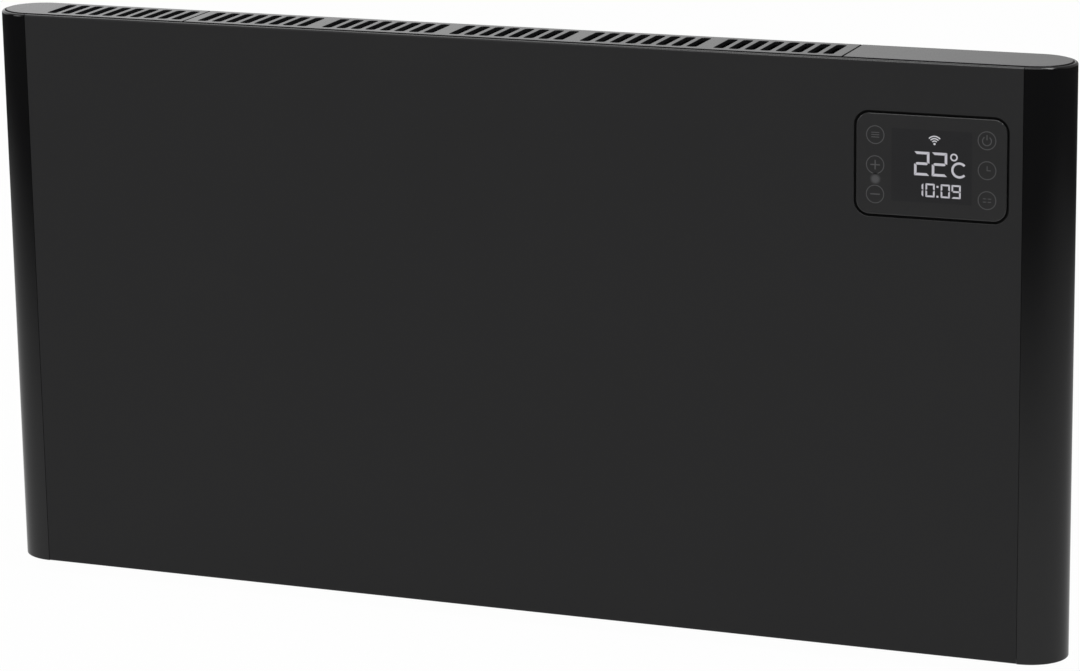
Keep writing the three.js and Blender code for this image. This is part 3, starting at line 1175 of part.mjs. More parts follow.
/** Upright: foot on the wall, web with the hook, and two tabs that guide the catch. */
function bracketUpright(side, sign) {
  const web = UPRIGHT_X - STEEL / 2;
  const [x0, x1] = [web, web + STEEL];
  const outline = [at(x0, WEB_FRONT), at(x1, WEB_FRONT), at(x1, -STEEL),
    at(x0 + FOOT_WIDTH, -STEEL), at(x0 + FOOT_WIDTH, 0), at(x0, 0)];
  const sheet = prismZ(outline, UPRIGHT_BOTTOM, UPRIGHT_TOP);
  const hook = prismX([
    at(WEB_FRONT + STEEL, HOOK_Z - HOOK_ARM), at(HOOK_FRONT, HOOK_Z - HOOK_ARM),
    at(HOOK_FRONT, HOOK_Z + HOOK_TIP), at(HOOK_BACK, HOOK_Z + HOOK_TIP),
    at(HOOK_BACK, HOOK_Z), at(WEB_FRONT + STEEL, HOOK_Z)], x0, x1);
  const tabBack = WEB_FRONT + CATCH_TAB_DEPTH;
  const tab = (top) => block(x0 - CATCH_TAB_REACH, x0 + STEEL / 2, WEB_FRONT, tabBack,
    top - STEEL, top);
  const drill = (points, top) => prismZ(points, top - 2 * STEEL, top + STEEL);
  const stemHole = drill(circle(CATCH_X, CATCH_Y, STEM_HOLE_RADIUS, ROUND_SIDES), TAB_LOW_Z);
  const thumbHole = drill(rectangle(CATCH_X, CATCH_Y, THUMB_STEM.x + 2 * RUN_CLEARANCE,
    THUMB_STEM.y + 2 * RUN_CLEARANCE), TAB_TOP_Z);
  const footMiddle = x1 + (FOOT_WIDTH - STEEL) / 2;
  const wallHoles = [UPRIGHT_TOP - WALL_HOLE_MARGIN, UPRIGHT_BOTTOM + WALL_HOLE_MARGIN]
    .map((z) => prismY(circle(footMiddle, z, WALL_HOLE_RADIUS, ROUND_HOLE_SIDES),
      -2 * STEEL, STEEL));
  const whole = cut(join(sheet, hook, tab(TAB_TOP_Z), tab(TAB_LOW_Z)),
    stemHole, thumbHole, ...wallHoles, ...rivetHoles());
  return piece(`bracket_upright_${side}`, sign === RIGHT ? whole : mirrored(whole), BLACK_STEEL);
}

/** Rivet through a crossbar end and an upright, with a head on both sides. */
function bracketRivet(side, sign, level, z) {
  const outside = STEEL / 2 + GAP;
  const inside = -STEEL / 2 - GAP - STEEL - GAP;
  const profile = [
    at(0, inside - RIVET_HEAD), at(RIVET_HEAD_RADIUS, inside - RIVET_HEAD),
    at(RIVET_HEAD_RADIUS, inside), at(RIVET_RADIUS, inside), at(RIVET_RADIUS, outside),
    at(RIVET_HEAD_RADIUS, outside), at(RIVET_HEAD_RADIUS, outside + RIVET_HEAD),
    at(0, outside + RIVET_HEAD)];
  const mesh = piece(`bracket_rivet_${side}_${level}`,
    turned(profile, ROUND_SIDES).rotateY((sign * Math.PI) / 2), ZINC);
  mesh.position.set(sign * UPRIGHT_X, RIVET_Y, z);
  return mesh;
}

/** Sliding catch: block between the tabs, nose through the back panel, stems and thumb pad. */
function catchSlider(side, sign) {
  const half = CATCH_WIDTH / 2;
  const body = block(-half, half, CATCH_FRONT, CATCH_FRONT + CATCH_DEPTH,
    CATCH_BOTTOM_Z, CATCH_TOP_Z);
  const nose = prismX([
    at(CATCH_FRONT + OVERCUT, NOSE_Z - NOSE_ARM), at(HOOK_FRONT, NOSE_Z - NOSE_ARM),
    at(HOOK_FRONT, NOSE_Z + NOSE_TIP), at(HOOK_BACK, NOSE_Z + NOSE_TIP),
    at(HOOK_BACK, NOSE_Z), at(CATCH_FRONT + OVERCUT, NOSE_Z)], -NOSE_WIDTH / 2, NOSE_WIDTH / 2);
  const padLow = TAB_TOP_Z + CATCH_TRAVEL + THUMB_CLEARANCE;
  const { x, y } = THUMB_STEM;
  const thumbStem = block(-x / 2, x / 2, CATCH_Y - y / 2, CATCH_Y + y / 2,
    CATCH_TOP_Z - OVERCUT, padLow + OVERCUT);
  const pad = block(-THUMB_PAD.x / 2, THUMB_PAD.x / 2, CATCH_Y - THUMB_PAD.y / 2,
    CATCH_Y + THUMB_PAD.y / 2, padLow, padLow + THUMB_PAD.z);
  const stem = prismZ(circle(0, CATCH_Y, STEM_RADIUS, ROUND_SIDES),
    TAB_LOW_Z - STEEL - STEM_OVERHANG, CATCH_BOTTOM_Z + OVERCUT);
  const mesh = piece(`catch_${side}`, join(body, nose, thumbStem, pad, stem), GREY_PLASTIC);
  mesh.position.x = sign * CATCH_X;
  return mesh;
}

/** Compression spring round the catch's lower stem. */
function catchSpring(side, sign) {
  const low = TAB_LOW_Z + GAP + SPRING_WIRE_RADIUS;
  const high = CATCH_BOTTOM_Z - GAP - SPRING_WIRE_RADIUS;
  class Helix extends THREE.Curve {
    getPoint(t, target = new THREE.Vector3()) {
      const angle = 2 * Math.PI * SPRING_TURNS * t;
      return target.set(SPRING_RADIUS * Math.cos(angle), SPRING_RADIUS * Math.sin(angle),
        (high - low) * t);
    }
  }
  const wire = new THREE.Shape(circle(0, 0, SPRING_WIRE_RADIUS, SPRING_WIRE_SIDES));
  const geometry = new THREE.ExtrudeGeometry(wire, {
    steps: SPRING_TURNS * SPRING_STEPS_PER_TURN, bevelEnabled: false, extrudePath: new Helix() });
  const mesh = piece(`catch_spring_${side}`, geometry, SPRING_STEEL);
  mesh.position.set(sign * CATCH_X, CATCH_Y, low);
  return mesh;
}

function wallBracket() {
  return assembly(0, 0, 0, bracketCrossbar(),
    ...SIDES.flatMap(([side, sign]) => [
      bracketUpright(side, sign), catchSlider(side, sign), catchSpring(side, sign),
      ...RIVET_LEVELS.map(([level, z]) => bracketRivet(side, sign, level, z))]));
}

// ---------------------------------------------------------------------------------------------
// Whole object
// ---------------------------------------------------------------------------------------------

const group = assembly(0, 0, 0,
  assembly(0, -WALL_GAP, 0, casing(), displayUnit(), electronics(), heating(), mainsSide()),
  wallBracket());

export default group;
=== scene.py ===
"""Slim wall panel convector heater with a touch display, on its steel wall bracket.

Metres, +Z up. The wall is the plane y = 0 and the heater hangs in front of it towards -Y. x = 0 is
the middle of the width and z = 0 is half the height. Sizes in the classes are in millimetres,
unless they say otherwise.
"""

import logging
import math
from dataclasses import dataclass
from enum import Enum
from typing import Any, Callable, ClassVar, Iterable, Sequence

import bmesh
import bpy
from mathutils import Matrix, Vector


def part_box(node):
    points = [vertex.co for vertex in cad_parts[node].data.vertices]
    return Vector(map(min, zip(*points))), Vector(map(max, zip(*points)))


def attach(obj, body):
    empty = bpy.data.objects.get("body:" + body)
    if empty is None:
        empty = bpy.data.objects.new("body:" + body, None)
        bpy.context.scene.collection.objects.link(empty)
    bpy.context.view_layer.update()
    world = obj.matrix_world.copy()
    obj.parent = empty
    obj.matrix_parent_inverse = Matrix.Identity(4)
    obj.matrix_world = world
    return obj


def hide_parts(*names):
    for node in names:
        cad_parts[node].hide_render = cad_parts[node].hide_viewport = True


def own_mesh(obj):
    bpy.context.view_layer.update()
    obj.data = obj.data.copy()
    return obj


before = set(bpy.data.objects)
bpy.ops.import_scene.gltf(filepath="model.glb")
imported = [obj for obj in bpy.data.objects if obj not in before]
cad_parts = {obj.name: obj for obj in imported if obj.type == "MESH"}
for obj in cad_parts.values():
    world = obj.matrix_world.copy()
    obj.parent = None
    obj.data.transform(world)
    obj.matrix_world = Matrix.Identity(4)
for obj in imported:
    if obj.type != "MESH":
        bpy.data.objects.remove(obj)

log = logging.getLogger("heater")

# In metres: a millimetre, the distance below which a new shape's points are joined (as at the
# poles of a turned solid), and the distance below which those of a CAD mesh are.
MM = 0.001
POLE = 0.000004
SAME_POINT = 0.000001

# Least radius of a turned solid's points, in millimetres, which keeps them just off its axis.
AXIS = 0.001

# Angle from which an edge is sharp, in degrees.
SHARP = 32.0

HEATER = "heater"
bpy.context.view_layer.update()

Pair = tuple[float, float]
Triple = tuple[float, float, float]
Colour = tuple[float, float, float]

# The materials made so far, by the name of their finish.
MADE: dict[str, bpy.types.Material] = {}


class Plane(Enum):
    """Where an outline (u, v) and its depth w lie in space."""

    TOP = ((1, 0, 0), (0, 1, 0), (0, 0, 1))
    FRONT = ((1, 0, 0), (0, 0, 1), (0, 1, 0))
    SIDE = ((0, 1, 0), (0, 0, 1), (1, 0, 0))

    def place(self, u: float, v: float, w: float) -> Vector:
        """The point of an outline's (u, v) at depth w, in millimetres."""
        along, across, deep = (Vector(axis) for axis in self.value)
        return along * u + across * v + deep * w


class Side(Enum):
    """The two ends of the heater, as seen from the front."""

    LEFT = -1
    RIGHT = 1

    @property
    def word(self) -> str:
        """The side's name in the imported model."""
        return self.name.lower()


# ------------------------------------------------------------------------------
# Node trees
# ------------------------------------------------------------------------------


class Wire:
    """A number in a node tree that can be used in arithmetic."""

    def __init__(self, tree: "Tree", socket: bpy.types.NodeSocket) -> None:
        """Wraps an output socket of the tree."""
        self.tree = tree
        self.socket = socket

    def _math(self, operation: str, first: Any, second: Any = None) -> "Wire":
        """Adds a Math node.

        Args:
            operation: Blender's name of the operation.
            first: Its first value or wire.
            second: Its second value or wire, if it has one.

        Returns:
            The result.
        """
        values = {0: first} if second is None else {0: first, 1: second}
        node = self.tree.node("ShaderNodeMath", {"operation": operation}, values)
        return Wire(self.tree, node.outputs[0])

    def __add__(self, other: Any) -> "Wire":
        """Self plus other."""
        return self._math("ADD", self, other)

    def __sub__(self, other: Any) -> "Wire":
        """Self minus other."""
        return self._math("SUBTRACT", self, other)

    def __rsub__(self, other: Any) -> "Wire":
        """Other minus self."""
        return self._math("SUBTRACT", other, self)

    def __mul__(self, other: Any) -> "Wire":
        """Self times other."""
        return self._math("MULTIPLY", self, other)

    def __abs__(self) -> "Wire":
        """Self without its sign."""
        return self._math("ABSOLUTE", self)

    def larger(self, other: Any) -> "Wire":
        """The larger of self and other."""
        return self._math("MAXIMUM", self, other)

    def root(self) -> "Wire":
        """The square root."""
        return self._math("SQRT", self)

    def ease(self, low: float, high: float) -> "Wire":
        """Eases from 0 at low to 1 at high.

        Args:
            low: Where it is still 0.
            high: Where it has reached 1.

        Returns:
            The eased value.
        """
        node = self.tree.node(
            "ShaderNodeMapRange",
            {"interpolation_type": "SMOOTHSTEP"},
            {"Value": self, "From Min": low, "From Max": high},
        )
        return Wire(self.tree, node.outputs[0])


class Tree:
    """A node tree that is filled through one method."""

    def __init__(self, tree: bpy.types.NodeTree) -> None:
        """Empties the tree."""
        self.tree = tree
        tree.nodes.clear()

    def feed(self, socket: bpy.types.NodeSocket, value: Any) -> None:
        """Sets or links an input.

        Args:
            socket: The input.
            value: A wire, an output socket, or a plain value.
        """
        if isinstance(value, Wire):
            value = value.socket
        if isinstance(value, bpy.types.NodeSocket):
            self.tree.links.new(value, socket)
        elif socket.type == "RGBA" and len(value) == 3:
            socket.default_value = (*value, 1.0)
        else:
            socket.default_value = value

    def node(
        self,
        kind: str,
        settings: dict[str, Any] | None = None,
        inputs: dict[str | int, Any] | None = None,
    ) -> bpy.types.Node:
        """Adds a node.

        Args:
            kind: The node's type.
            settings: Its own settings, set before its sockets.
            inputs: Values or links of its sockets, by name or number.

        Returns:
            The node.
        """
        made = self.tree.nodes.new(kind)
        for key, value in (settings or {}).items():
            setattr(made, key, value)
        for key, value in (inputs or {}).items():
            self.feed(made.inputs[key], value)
        return made

    def wire(self, node: bpy.types.Node, output: str | int = 0) -> Wire:
        """An output of a node as a wire."""
        return Wire(self, node.outputs[output])


class Paint(Tree):
    """The node tree of a material."""

    def place(self) -> bpy.types.NodeSocket:
        """Object coordinates, in metres."""
        return self.node("ShaderNodeTexCoord").outputs["Object"]

    def axes(self) -> tuple[Wire, Wire, Wire]:
        """The three object coordinates, in metres."""
        split = self.node("ShaderNodeSeparateXYZ", inputs={0: self.place()})
        return self.wire(split, 0), self.wire(split, 1), self.wire(split, 2)

    def noise(self, size: float, detail: float = 2.0, stretch: Colour = (1, 1, 1)) -> Wire:
        """Soft noise about 0.5.

        Args:
            size: Its grain, in metres.
            detail: How many finer layers it has.
            stretch: How much finer it is along each axis.

        Returns:
            The noise's value.
        """
        mapped = self.node(
            "ShaderNodeMapping",
            inputs={"Vector": self.place(), "Scale": tuple(s / size for s in stretch)},
        )
        made = self.node(
            "ShaderNodeTexNoise",
            inputs={"Vector": mapped.outputs[0], "Scale": 1.0, "Detail": detail},
        )
        return self.wire(made, 0)

    def blend(self, share: Any, first: Any, second: Any) -> bpy.types.NodeSocket:
        """Mixes two colours.

        Args:
            share: How much of the second there is.
            first: A colour or a colour socket.
            second: Another.

        Returns:
            The mixed colour.
        """
        made = self.node("ShaderNodeMix", {"data_type": "RGBA"}, {0: share, 6: first, 7: second})
        return made.outputs[2]

    def relief(self, height: Wire, depth: float) -> bpy.types.NodeSocket:
        """A bump from a height between 0 and 1.

        Args:
            height: The height.
            depth: What a height of 1 is, in metres.

        Returns:
            The bumped normal.
        """
        bumped = {"Height": height, "Distance": depth, "Strength": 1.0}
        return self.node("ShaderNodeBump", inputs=bumped).outputs[0]


class Recipe(Tree):
    """A geometry node tree with named inputs."""

    def __init__(self, name: str) -> None:
        """Starts an empty recipe with one geometry input and output.

        Args:
            name: The recipe's name.
        """
        super().__init__(bpy.data.node_groups.new(name, "GeometryNodeTree"))
        interface = self.tree.interface
        interface.new_socket("Geometry", in_out="INPUT", socket_type="NodeSocketGeometry")
        interface.new_socket("Geometry", in_out="OUTPUT", socket_type="NodeSocketGeometry")
        self.values: dict[str, Any] = {}
        self.entry = self.node("NodeGroupInput")

    def given(self, name: str, value: Any, kind: str = "Float") -> bpy.types.NodeSocket:
        """Adds a named input.

        Args:
            name: Its name.
            value: The value that it has in this piece.
            kind: Float, Int, Vector, Object or Material.

        Returns:
            The input's socket inside the tree.
        """
        self.tree.interface.new_socket(name, in_out="INPUT", socket_type=f"NodeSocket{kind}")
        self.values[name] = value
        return self.entry.outputs[name]

    @property
    def base(self) -> bpy.types.NodeSocket:
        """The geometry that the recipe starts from."""
        return self.entry.outputs["Geometry"]

    def close(self, geometry: bpy.types.NodeSocket, material: bpy.types.Material) -> None:
        """Ends the tree in plain geometry with a material.

        Args:
            geometry: What it has made.
            material: The material of all of it.
        """
        plain = self.node("GeometryNodeRealizeInstances", inputs={0: geometry})
        dressed = self.node(
            "GeometryNodeSetMaterial",
            inputs={
                "Geometry": plain.outputs[0],
                "Material": self.given("Material", material, "Material"),
            },
        )
        self.node("NodeGroupOutput", inputs={0: dressed.outputs[0]})

    def bake(self, name: str, start: bpy.types.Object | None = None) -> bpy.types.Object:
        """Runs the recipe.

        Args:
            name: The new piece's name.
            start: The object that it starts from, which it uses up.

        Returns:
            The result as a plain mesh object.
        """
        host = start or new_object(f"{name}_start", bpy.data.meshes.new(f"{name}_start"))
        modifier = host.modifiers.new("recipe", "NODES")
        modifier.node_group = self.tree
        for item in self.tree.interface.items_tree:
            if item.in_out == "INPUT" and item.name in self.values:
                modifier[item.identifier] = self.values[item.name]
        return settled(host, name)


# ------------------------------------------------------------------------------
# Finishes
# ------------------------------------------------------------------------------


@dataclass(frozen=True)
class Finish:
    """A finish that one or more pieces share.

    Attributes:
        name: The material's name.
        slot: The material slot that it belongs to; not used.
        colour: Its linear colour.
        roughness: Its mean roughness.
        metallic: 1 for bare metal.
        level: Specular level.
    """

    name: str
    slot: str
    colour: Colour
    roughness: float
    metallic: float = 0.0
    level: float = 0.5

    def material(self) -> bpy.types.Material:
        """The finish's material, made the first time that it is asked for.

        Returns:
            The material.
        """
        if self.name in MADE:
            return MADE[self.name]
        made = bpy.data.materials.new(f"{self.name}_finish")
        MADE[self.name] = made
        made.use_nodes = True
        paint = Paint(made.node_tree)
        shader = paint.node(
            "ShaderNodeBsdfPrincipled",
            inputs={
                "Base Color": self.colour,
                "Roughness": self.roughness,
                "Metallic": self.metallic,
                "Specular IOR Level": self.level,
            },
        )
        for socket, value in self.surface(paint).items():
            paint.feed(shader.inputs[socket], value)
        paint.node("ShaderNodeOutputMaterial", inputs={"Surface": shader.outputs[0]})
        return made

    def surface(self, paint: Paint) -> dict[str, Any]:
        """What changes over the surface.

        Args:
            paint: The tree to add nodes to.

        Returns:
            Values and links of the shader's sockets.
        """
        raise NotImplementedError

    def mottled(self, paint: Paint, share: Any, depth: float) -> bpy.types.NodeSocket:
        """The colour, a little darker and lighter from place to place.

        Args:
            paint: The tree to add nodes to.
            share: Where it is lighter, from 0 to 1.
            depth: How much darker and lighter it gets.

        Returns:
            The colour.
        """
        darker = tuple(c * (1 - depth) for c in self.colour)
        lighter = tuple(c * (1 + depth) for c in self.colour)
        return paint.blend(share, darker, lighter)


@dataclass(frozen=True)
class PowderCoat(Finish):
    """Baked powder paint on sheet metal: orange peel, and a fine speckle in it.

    Attributes:
        peel: Size of the orange peel, in metres.
        depth: Its depth, in metres.
        cloud: Size of the slow changes of its colour, in metres.
        mottle: How far its colour varies.
        gloss: Roughness of the glossier paint on its folds.
        rim: Heights between which the paint turns glossier, as on a folded edge.
        face: The flat face, as y; behind it, on its folds and lips, the paint is glossier too.
        fold: How far behind the face that gloss starts and is full.
    """

    peel: float = 0.0016
    depth: float = 0.00002
    cloud: float = 0.12
    mottle: float = 0.06
    gloss: float = 0.14
    rim: Pair = (400.0, 401.0)
    face: float = 400.0
    fold: Pair = (0.05, 0.3)

    def surface(self, paint: Paint) -> dict[str, Any]:
        """Orange peel, speckle and a slow change of colour over the sheet.

        Args:
            paint: The tree to add nodes to.

        Returns:
            Values and links of the shader's sockets.
        """
        peel = paint.noise(self.peel, 1.0)
        speckle = paint.noise(self.peel / 5, 2.0)
        slow = paint.noise(self.cloud, 3.0)
        _, depth, height = paint.axes()
        folded = depth.ease(*((self.face + reach) * MM for reach in self.fold))
        return {
            "Coat Weight": height.ease(*(level * MM for level in self.rim)).larger(folded),
            "Coat Roughness": self.gloss,
            "Base Color": self.mottled(paint, slow * 0.6 + speckle * 0.4, self.mottle),
            "Roughness": speckle * 0.08 + slow * 0.04 + (self.roughness - 0.06),
            "Normal": paint.relief(peel * 0.8 + speckle * 0.2, self.depth),
        }


@dataclass(frozen=True)
class Moulded(Finish):
    """Moulded plastic, rubber or ceramic with a fine tool grain.

    Attributes:
        grain: Size of the grain, in metres.
        depth: Its depth, in metres.
        wave: Slow unevenness of a large moulding, in metres.
        mottle: How far its colour varies.
    """

    grain: float = 0.0004
    depth: float = 0.00001
    wave: float = 0.0
    mottle: float = 0.05

    def surface(self, paint: Paint) -> dict[str, Any]:
        """Tool grain, a slight unevenness and faint handling marks in the gloss.

        Args:
            paint: The tree to add nodes to.

        Returns:
            Values and links of the shader's sockets.
        """
        grain = paint.noise(self.grain, 2.0)
        slow = paint.noise(0.05, 2.0)
        height = grain * self.depth + paint.noise(0.03, 0.0) * self.wave
        return {
            "Base Color": self.mottled(paint, slow, self.mottle),
            "Roughness": grain * 0.05 + slow * 0.05 + (self.roughness - 0.05),
            "Normal": paint.relief(height, 1.0),
        }


@dataclass(frozen=True)
class Brushed(Finish):
    """Rolled, drawn or brushed metal with streaks along one axis.

    Attributes:
        streak: How much longer the streaks are along each axis, as a divisor of the grain.
        depth: Depth of the streaks, in metres.
        tint: Second colour, as of zinc passivation or heat.
        tint_share: The most of the second colour.
    """

    streak: Colour = (0.04, 1, 1)
    depth: float = 0.000006
    tint: Colour = (0.5, 0.48, 0.4)
    tint_share: float = 0.2

    def surface(self, paint: Paint) -> dict[str, Any]:
        """Streaks, with soft patches of the second colour.

        Args:
            paint: The tree to add nodes to.

        Returns:
            Values and links of the shader's sockets.
        """
        streaks = paint.noise(0.0006, 3.0, self.streak)
        patches = paint.noise(0.018, 3.0)
        even = self.mottled(paint, streaks, 0.12)
        return {
            "Base Color": paint.blend(patches.ease(0.4, 0.75) * self.tint_share, even, self.tint),
            "Roughness": streaks * 0.14 + patches * 0.08 + (self.roughness - 0.11),
            "Normal": paint.relief(streaks, self.depth),
        }


@dataclass(frozen=True)
class PrintedGlass(Finish):
    """Glass printed black from behind, with a clearer window over the screen.

    Attributes:
        window: Middle and half size of the window in x and z, in millimetres.
        window_colour: The colour seen in it.
        fade: Half the width over which the print fades into the window, in millimetres.
    """

    window: tuple[float, float, float, float] = (0, 0, 1, 1)
    window_colour: Colour = (0.01, 0.01, 0.011)
    fade: float = 0.4

    def surface(self, paint: Paint) -> dict[str, Any]:
        """The print, its window, and a trace of handling on the glass.

        Args:
            paint: The tree to add nodes to.

        Returns:
            Values and links of the shader's sockets.
        """
        x, _, z = paint.axes()
        middle_x, middle_z, half_x, half_z = (value * MM for value in self.window)
        outside = (abs(x - middle_x) - half_x).larger(abs(z - middle_z) - half_z)
        smear = paint.noise(0.022, 3.0, (1, 1, 0.4))
        printed = self.mottled(paint, paint.noise(0.04), 0.04)
        share = outside.ease(-self.fade * MM, self.fade * MM)
        return {
            "Base Color": paint.blend(share, self.window_colour, printed),
            "Roughness": smear.ease(0.45, 0.8) * 0.05 + self.roughness,
            "Normal": paint.relief(paint.noise(0.03, 0.0), 0.000004),
        }


@dataclass(frozen=True)
class Glow(Finish):
    """A lit segment of the screen, its light a touch weaker in places.

    Attributes:
        light: Its linear colour where it is brightest.
        weakest: Share of that light where it is weakest.
    """

    light: Colour = (0.5, 0.5, 0.5)
    weakest: float = 0.82

    def surface(self, paint: Paint) -> dict[str, Any]:
        """Light that varies a little over the screen.

        Args:
            paint: The tree to add nodes to.

        Returns:
            Values and links of the shader's sockets.
        """
        share = paint.noise(0.006, 1.0) * 0.6 + paint.noise(0.0005, 1.0) * 0.4
        dim = tuple(c * self.weakest for c in self.light)
        return {
            "Base Color": self.mottled(paint, share, 0.1),
            "Emission Color": paint.blend(share.ease(0.3, 0.6), dim, self.light),
            "Emission Strength": 1.0,
        }


@dataclass(frozen=True)
class Halo(Finish):
    """A soft round lamp window behind the glass, fading into the print.

    Attributes:
        middle: Its middle in x and z, in millimetres.
        radius: Where it has faded out, in millimetres.
        core: Share of the radius at which it starts to fade.
        edge: The colour it fades to.
    """

    middle: Pair = (0, 0)
    radius: float = 1
    core: float = 0.35
    edge: Colour = (0, 0, 0)

    def surface(self, paint: Paint) -> dict[str, Any]:
        """A round fade from the lamp's grey to the print's black.

        Args:
            paint: The tree to add nodes to.

        Returns:
            Values and links of the shader's sockets.
        """
        x, _, z = paint.axes()
        across, up = x - self.middle[0] * MM, z - self.middle[1] * MM
        distance = (across * across + up * up).root()
        grain = paint.noise(0.0008, 1.0) * 0.1
        share = distance.ease(self.radius * self.core * MM, self.radius * MM) + (grain - 0.05)
        return {"Base Color": paint.blend(share, self.colour, self.edge)}


ANTHRACITE = PowderCoat(
    "anthracite_powder_coat", "anthracite_panel", (0.0274, 0.0274, 0.0279), 0.42,
    level=0.08, rim=(222.5, 223.3), face=-77.5)
GLOSS_BLACK = Moulded(
    "gloss_black_enamel", "gloss_black_profile", (0.0042, 0.0042, 0.0045), 0.1,
    grain=0.0009, depth=0.0000006, wave=0.00001, mottle=0.1)
SATIN_BLACK = Moulded(
    "satin_black_plastic", "satin_black_plastic", (0.011, 0.011, 0.012), 0.24, depth=0.000003)
# Painted shade: the housing's satin black plastic made darker and duller than SATIN_BLACK, so that
# the groove round the display glass, where the housing shows, looks deep in shade.
HOUSING_PAINTED_SHADE = Moulded(
    "housing_plastic", "satin_black_plastic", (0.003, 0.003, 0.003), 0.5, level=0.2)
BLACK_STEEL = PowderCoat(
    "black_powder_coat", "black_steel", (0.012, 0.012, 0.013), 0.52, depth=0.00003, level=0.4)
ZINC = Brushed("zinc_plated_steel", "zinc_steel", (0.46, 0.48, 0.5), 0.34, metallic=1.0)
SPRING_STEEL = Brushed(
    "bright_spring_wire", "spring_steel", (0.33, 0.34, 0.35), 0.26,
    metallic=1.0, streak=(1, 1, 0.2))
ALUMINIUM = Brushed(
    "mill_aluminium", "mill_aluminium", (0.54, 0.55, 0.56), 0.38,
    metallic=1.0, tint=(0.45, 0.42, 0.36))
CERAMIC = Moulded(
    "steatite", "insulator", (0.72, 0.68, 0.58), 0.55, grain=0.0007, depth=0.00003)
SILICONE = Moulded(
    "silicone_rubber", "silicone", (0.25, 0.03, 0.016), 0.7, grain=0.0006, depth=0.00003)
BOARD = Moulded(
    "solder_mask", "circuit_board", (0.012, 0.1, 0.035), 0.4, grain=0.0012, mottle=0.25)
BLUE_CASE = Moulded("blue_relay_case", "relay_case", (0.02, 0.08, 0.26), 0.35)
AMBER_CASE = Moulded(
    "amber_winding", "component_amber", (0.42, 0.18, 0.016), 0.4, mottle=0.15)
GREY_PLASTIC = Moulded("grey_plastic", "grey_plastic", (0.19, 0.19, 0.2), 0.5, depth=0.00002)
SCREEN = Moulded("dark_screen", "screen", (0.02, 0.02, 0.024), 0.15)


# ------------------------------------------------------------------------------
# Shapes
# ------------------------------------------------------------------------------


def arc(centre: Pair, radii: Pair, start: float, end: float, steps: int) -> list[Pair]:
    """Points of an arc of an ellipse.

    Args:
        centre: Its middle.
        radii: Its half axes.
        start: First angle, in degrees.
        end: Last angle.
        steps: How many steps it takes.

    Returns:
        The points, both ends included.
    """
    (x, y), (wide, high) = centre, radii
    angles = [math.radians(start + (end - start) * i / steps) for i in range(steps + 1)]
    return [(x + wide * math.cos(a), y + high * math.sin(a)) for a in angles]


def circle(x: float, y: float, radius: float, sides: int = 32) -> list[Pair]:
    """Points of a circle about (x, y)."""
    return arc((x, y), (radius, radius), 0, 360, sides)[:-1]


def rounded(
    x: float, y: float, width: float, height: float, radius: float, steps: int = 12
) -> list[Pair]:
    """Points of a rectangle with rounded corners.

    Args:
        x: Its middle.
        y: Its middle.
        width: Its width.
        height: Its height.
        radius: Its corners.
        steps: Steps round each corner.

    Returns:
        The points, anticlockwise.
    """
    w, h, r = width / 2 - radius, height / 2 - radius, (radius, radius)
    return [
        *arc((x - w, y - h), r, 180, 270, steps),
        *arc((x + w, y - h), r, 270, 360, steps),
        *arc((x + w, y + h), r, 0, 90, steps),
        *arc((x - w, y + h), r, 90, 180, steps),
    ]


def inset(outline: Sequence[Pair], by: float) -> list[Pair]:
    """An outline moved inwards.

    Args:
        outline: A closed outline, either way round.
        by: How far; a negative distance moves it outwards.

    Returns:
        The moved outline, with the same number of points.
    """
    if not by:
        return list(outline)
    count = len(outline)
    area = sum(
        outline[i - 1][0] * outline[i][1] - outline[i][0] * outline[i - 1][1] for i in range(count)
    )
    turn = math.copysign(1.0, area)
    normals = []
    for i in range(count):
        edge = Vector(outline[(i + 1) % count]) - Vector(outline[i])
        edge.normalize()
        normals.append(Vector((-edge.y, edge.x)) * turn)
    moved = []
    for i, point in enumerate(outline):
        before, after = normals[i - 1], normals[i]
        shift = (before + after) / (1 + before.dot(after))
        moved.append((point[0] + shift.x * by, point[1] + shift.y * by))
    return moved


def levels(
    low: float, high: float, low_round: float = 0.0, high_round: float = 0.0, steps: int = 3
) -> list[Pair]:
    """Depths of a prism with rounded edges, and how far its outline is moved in at each.

    Args:
        low: Its lower face.
        high: Its upper face.
        low_round: Radius round its lower face; below 0 it flares.
        high_round: Radius round its upper face; below 0 it flares.
        steps: Steps in each rounding.

    Returns:
        Pairs of depth and inset.
    """

    def corner(face: float, into: int, radius: float) -> list[Pair]:
        """Depths and insets round one face, from the face inwards.

        Args:
            face: The face's depth.
            into: Sign of the depth towards the prism's middle.
            radius: The rounding's radius; below 0 it flares.

        Returns:
            Pairs of depth and inset.
        """
        if not radius:
            return [(face, 0.0)]
        size, sign = abs(radius), math.copysign(1.0, radius)
        found = []
        for i in range(steps + 1):
            angle = math.pi / 2 * i / steps
            found.append(
                (face + into * size * (1 - math.cos(angle)), sign * size * (1 - math.sin(angle)))
            )
        return found

    return [*corner(low, 1, low_round), *reversed(corner(high, -1, high_round))]


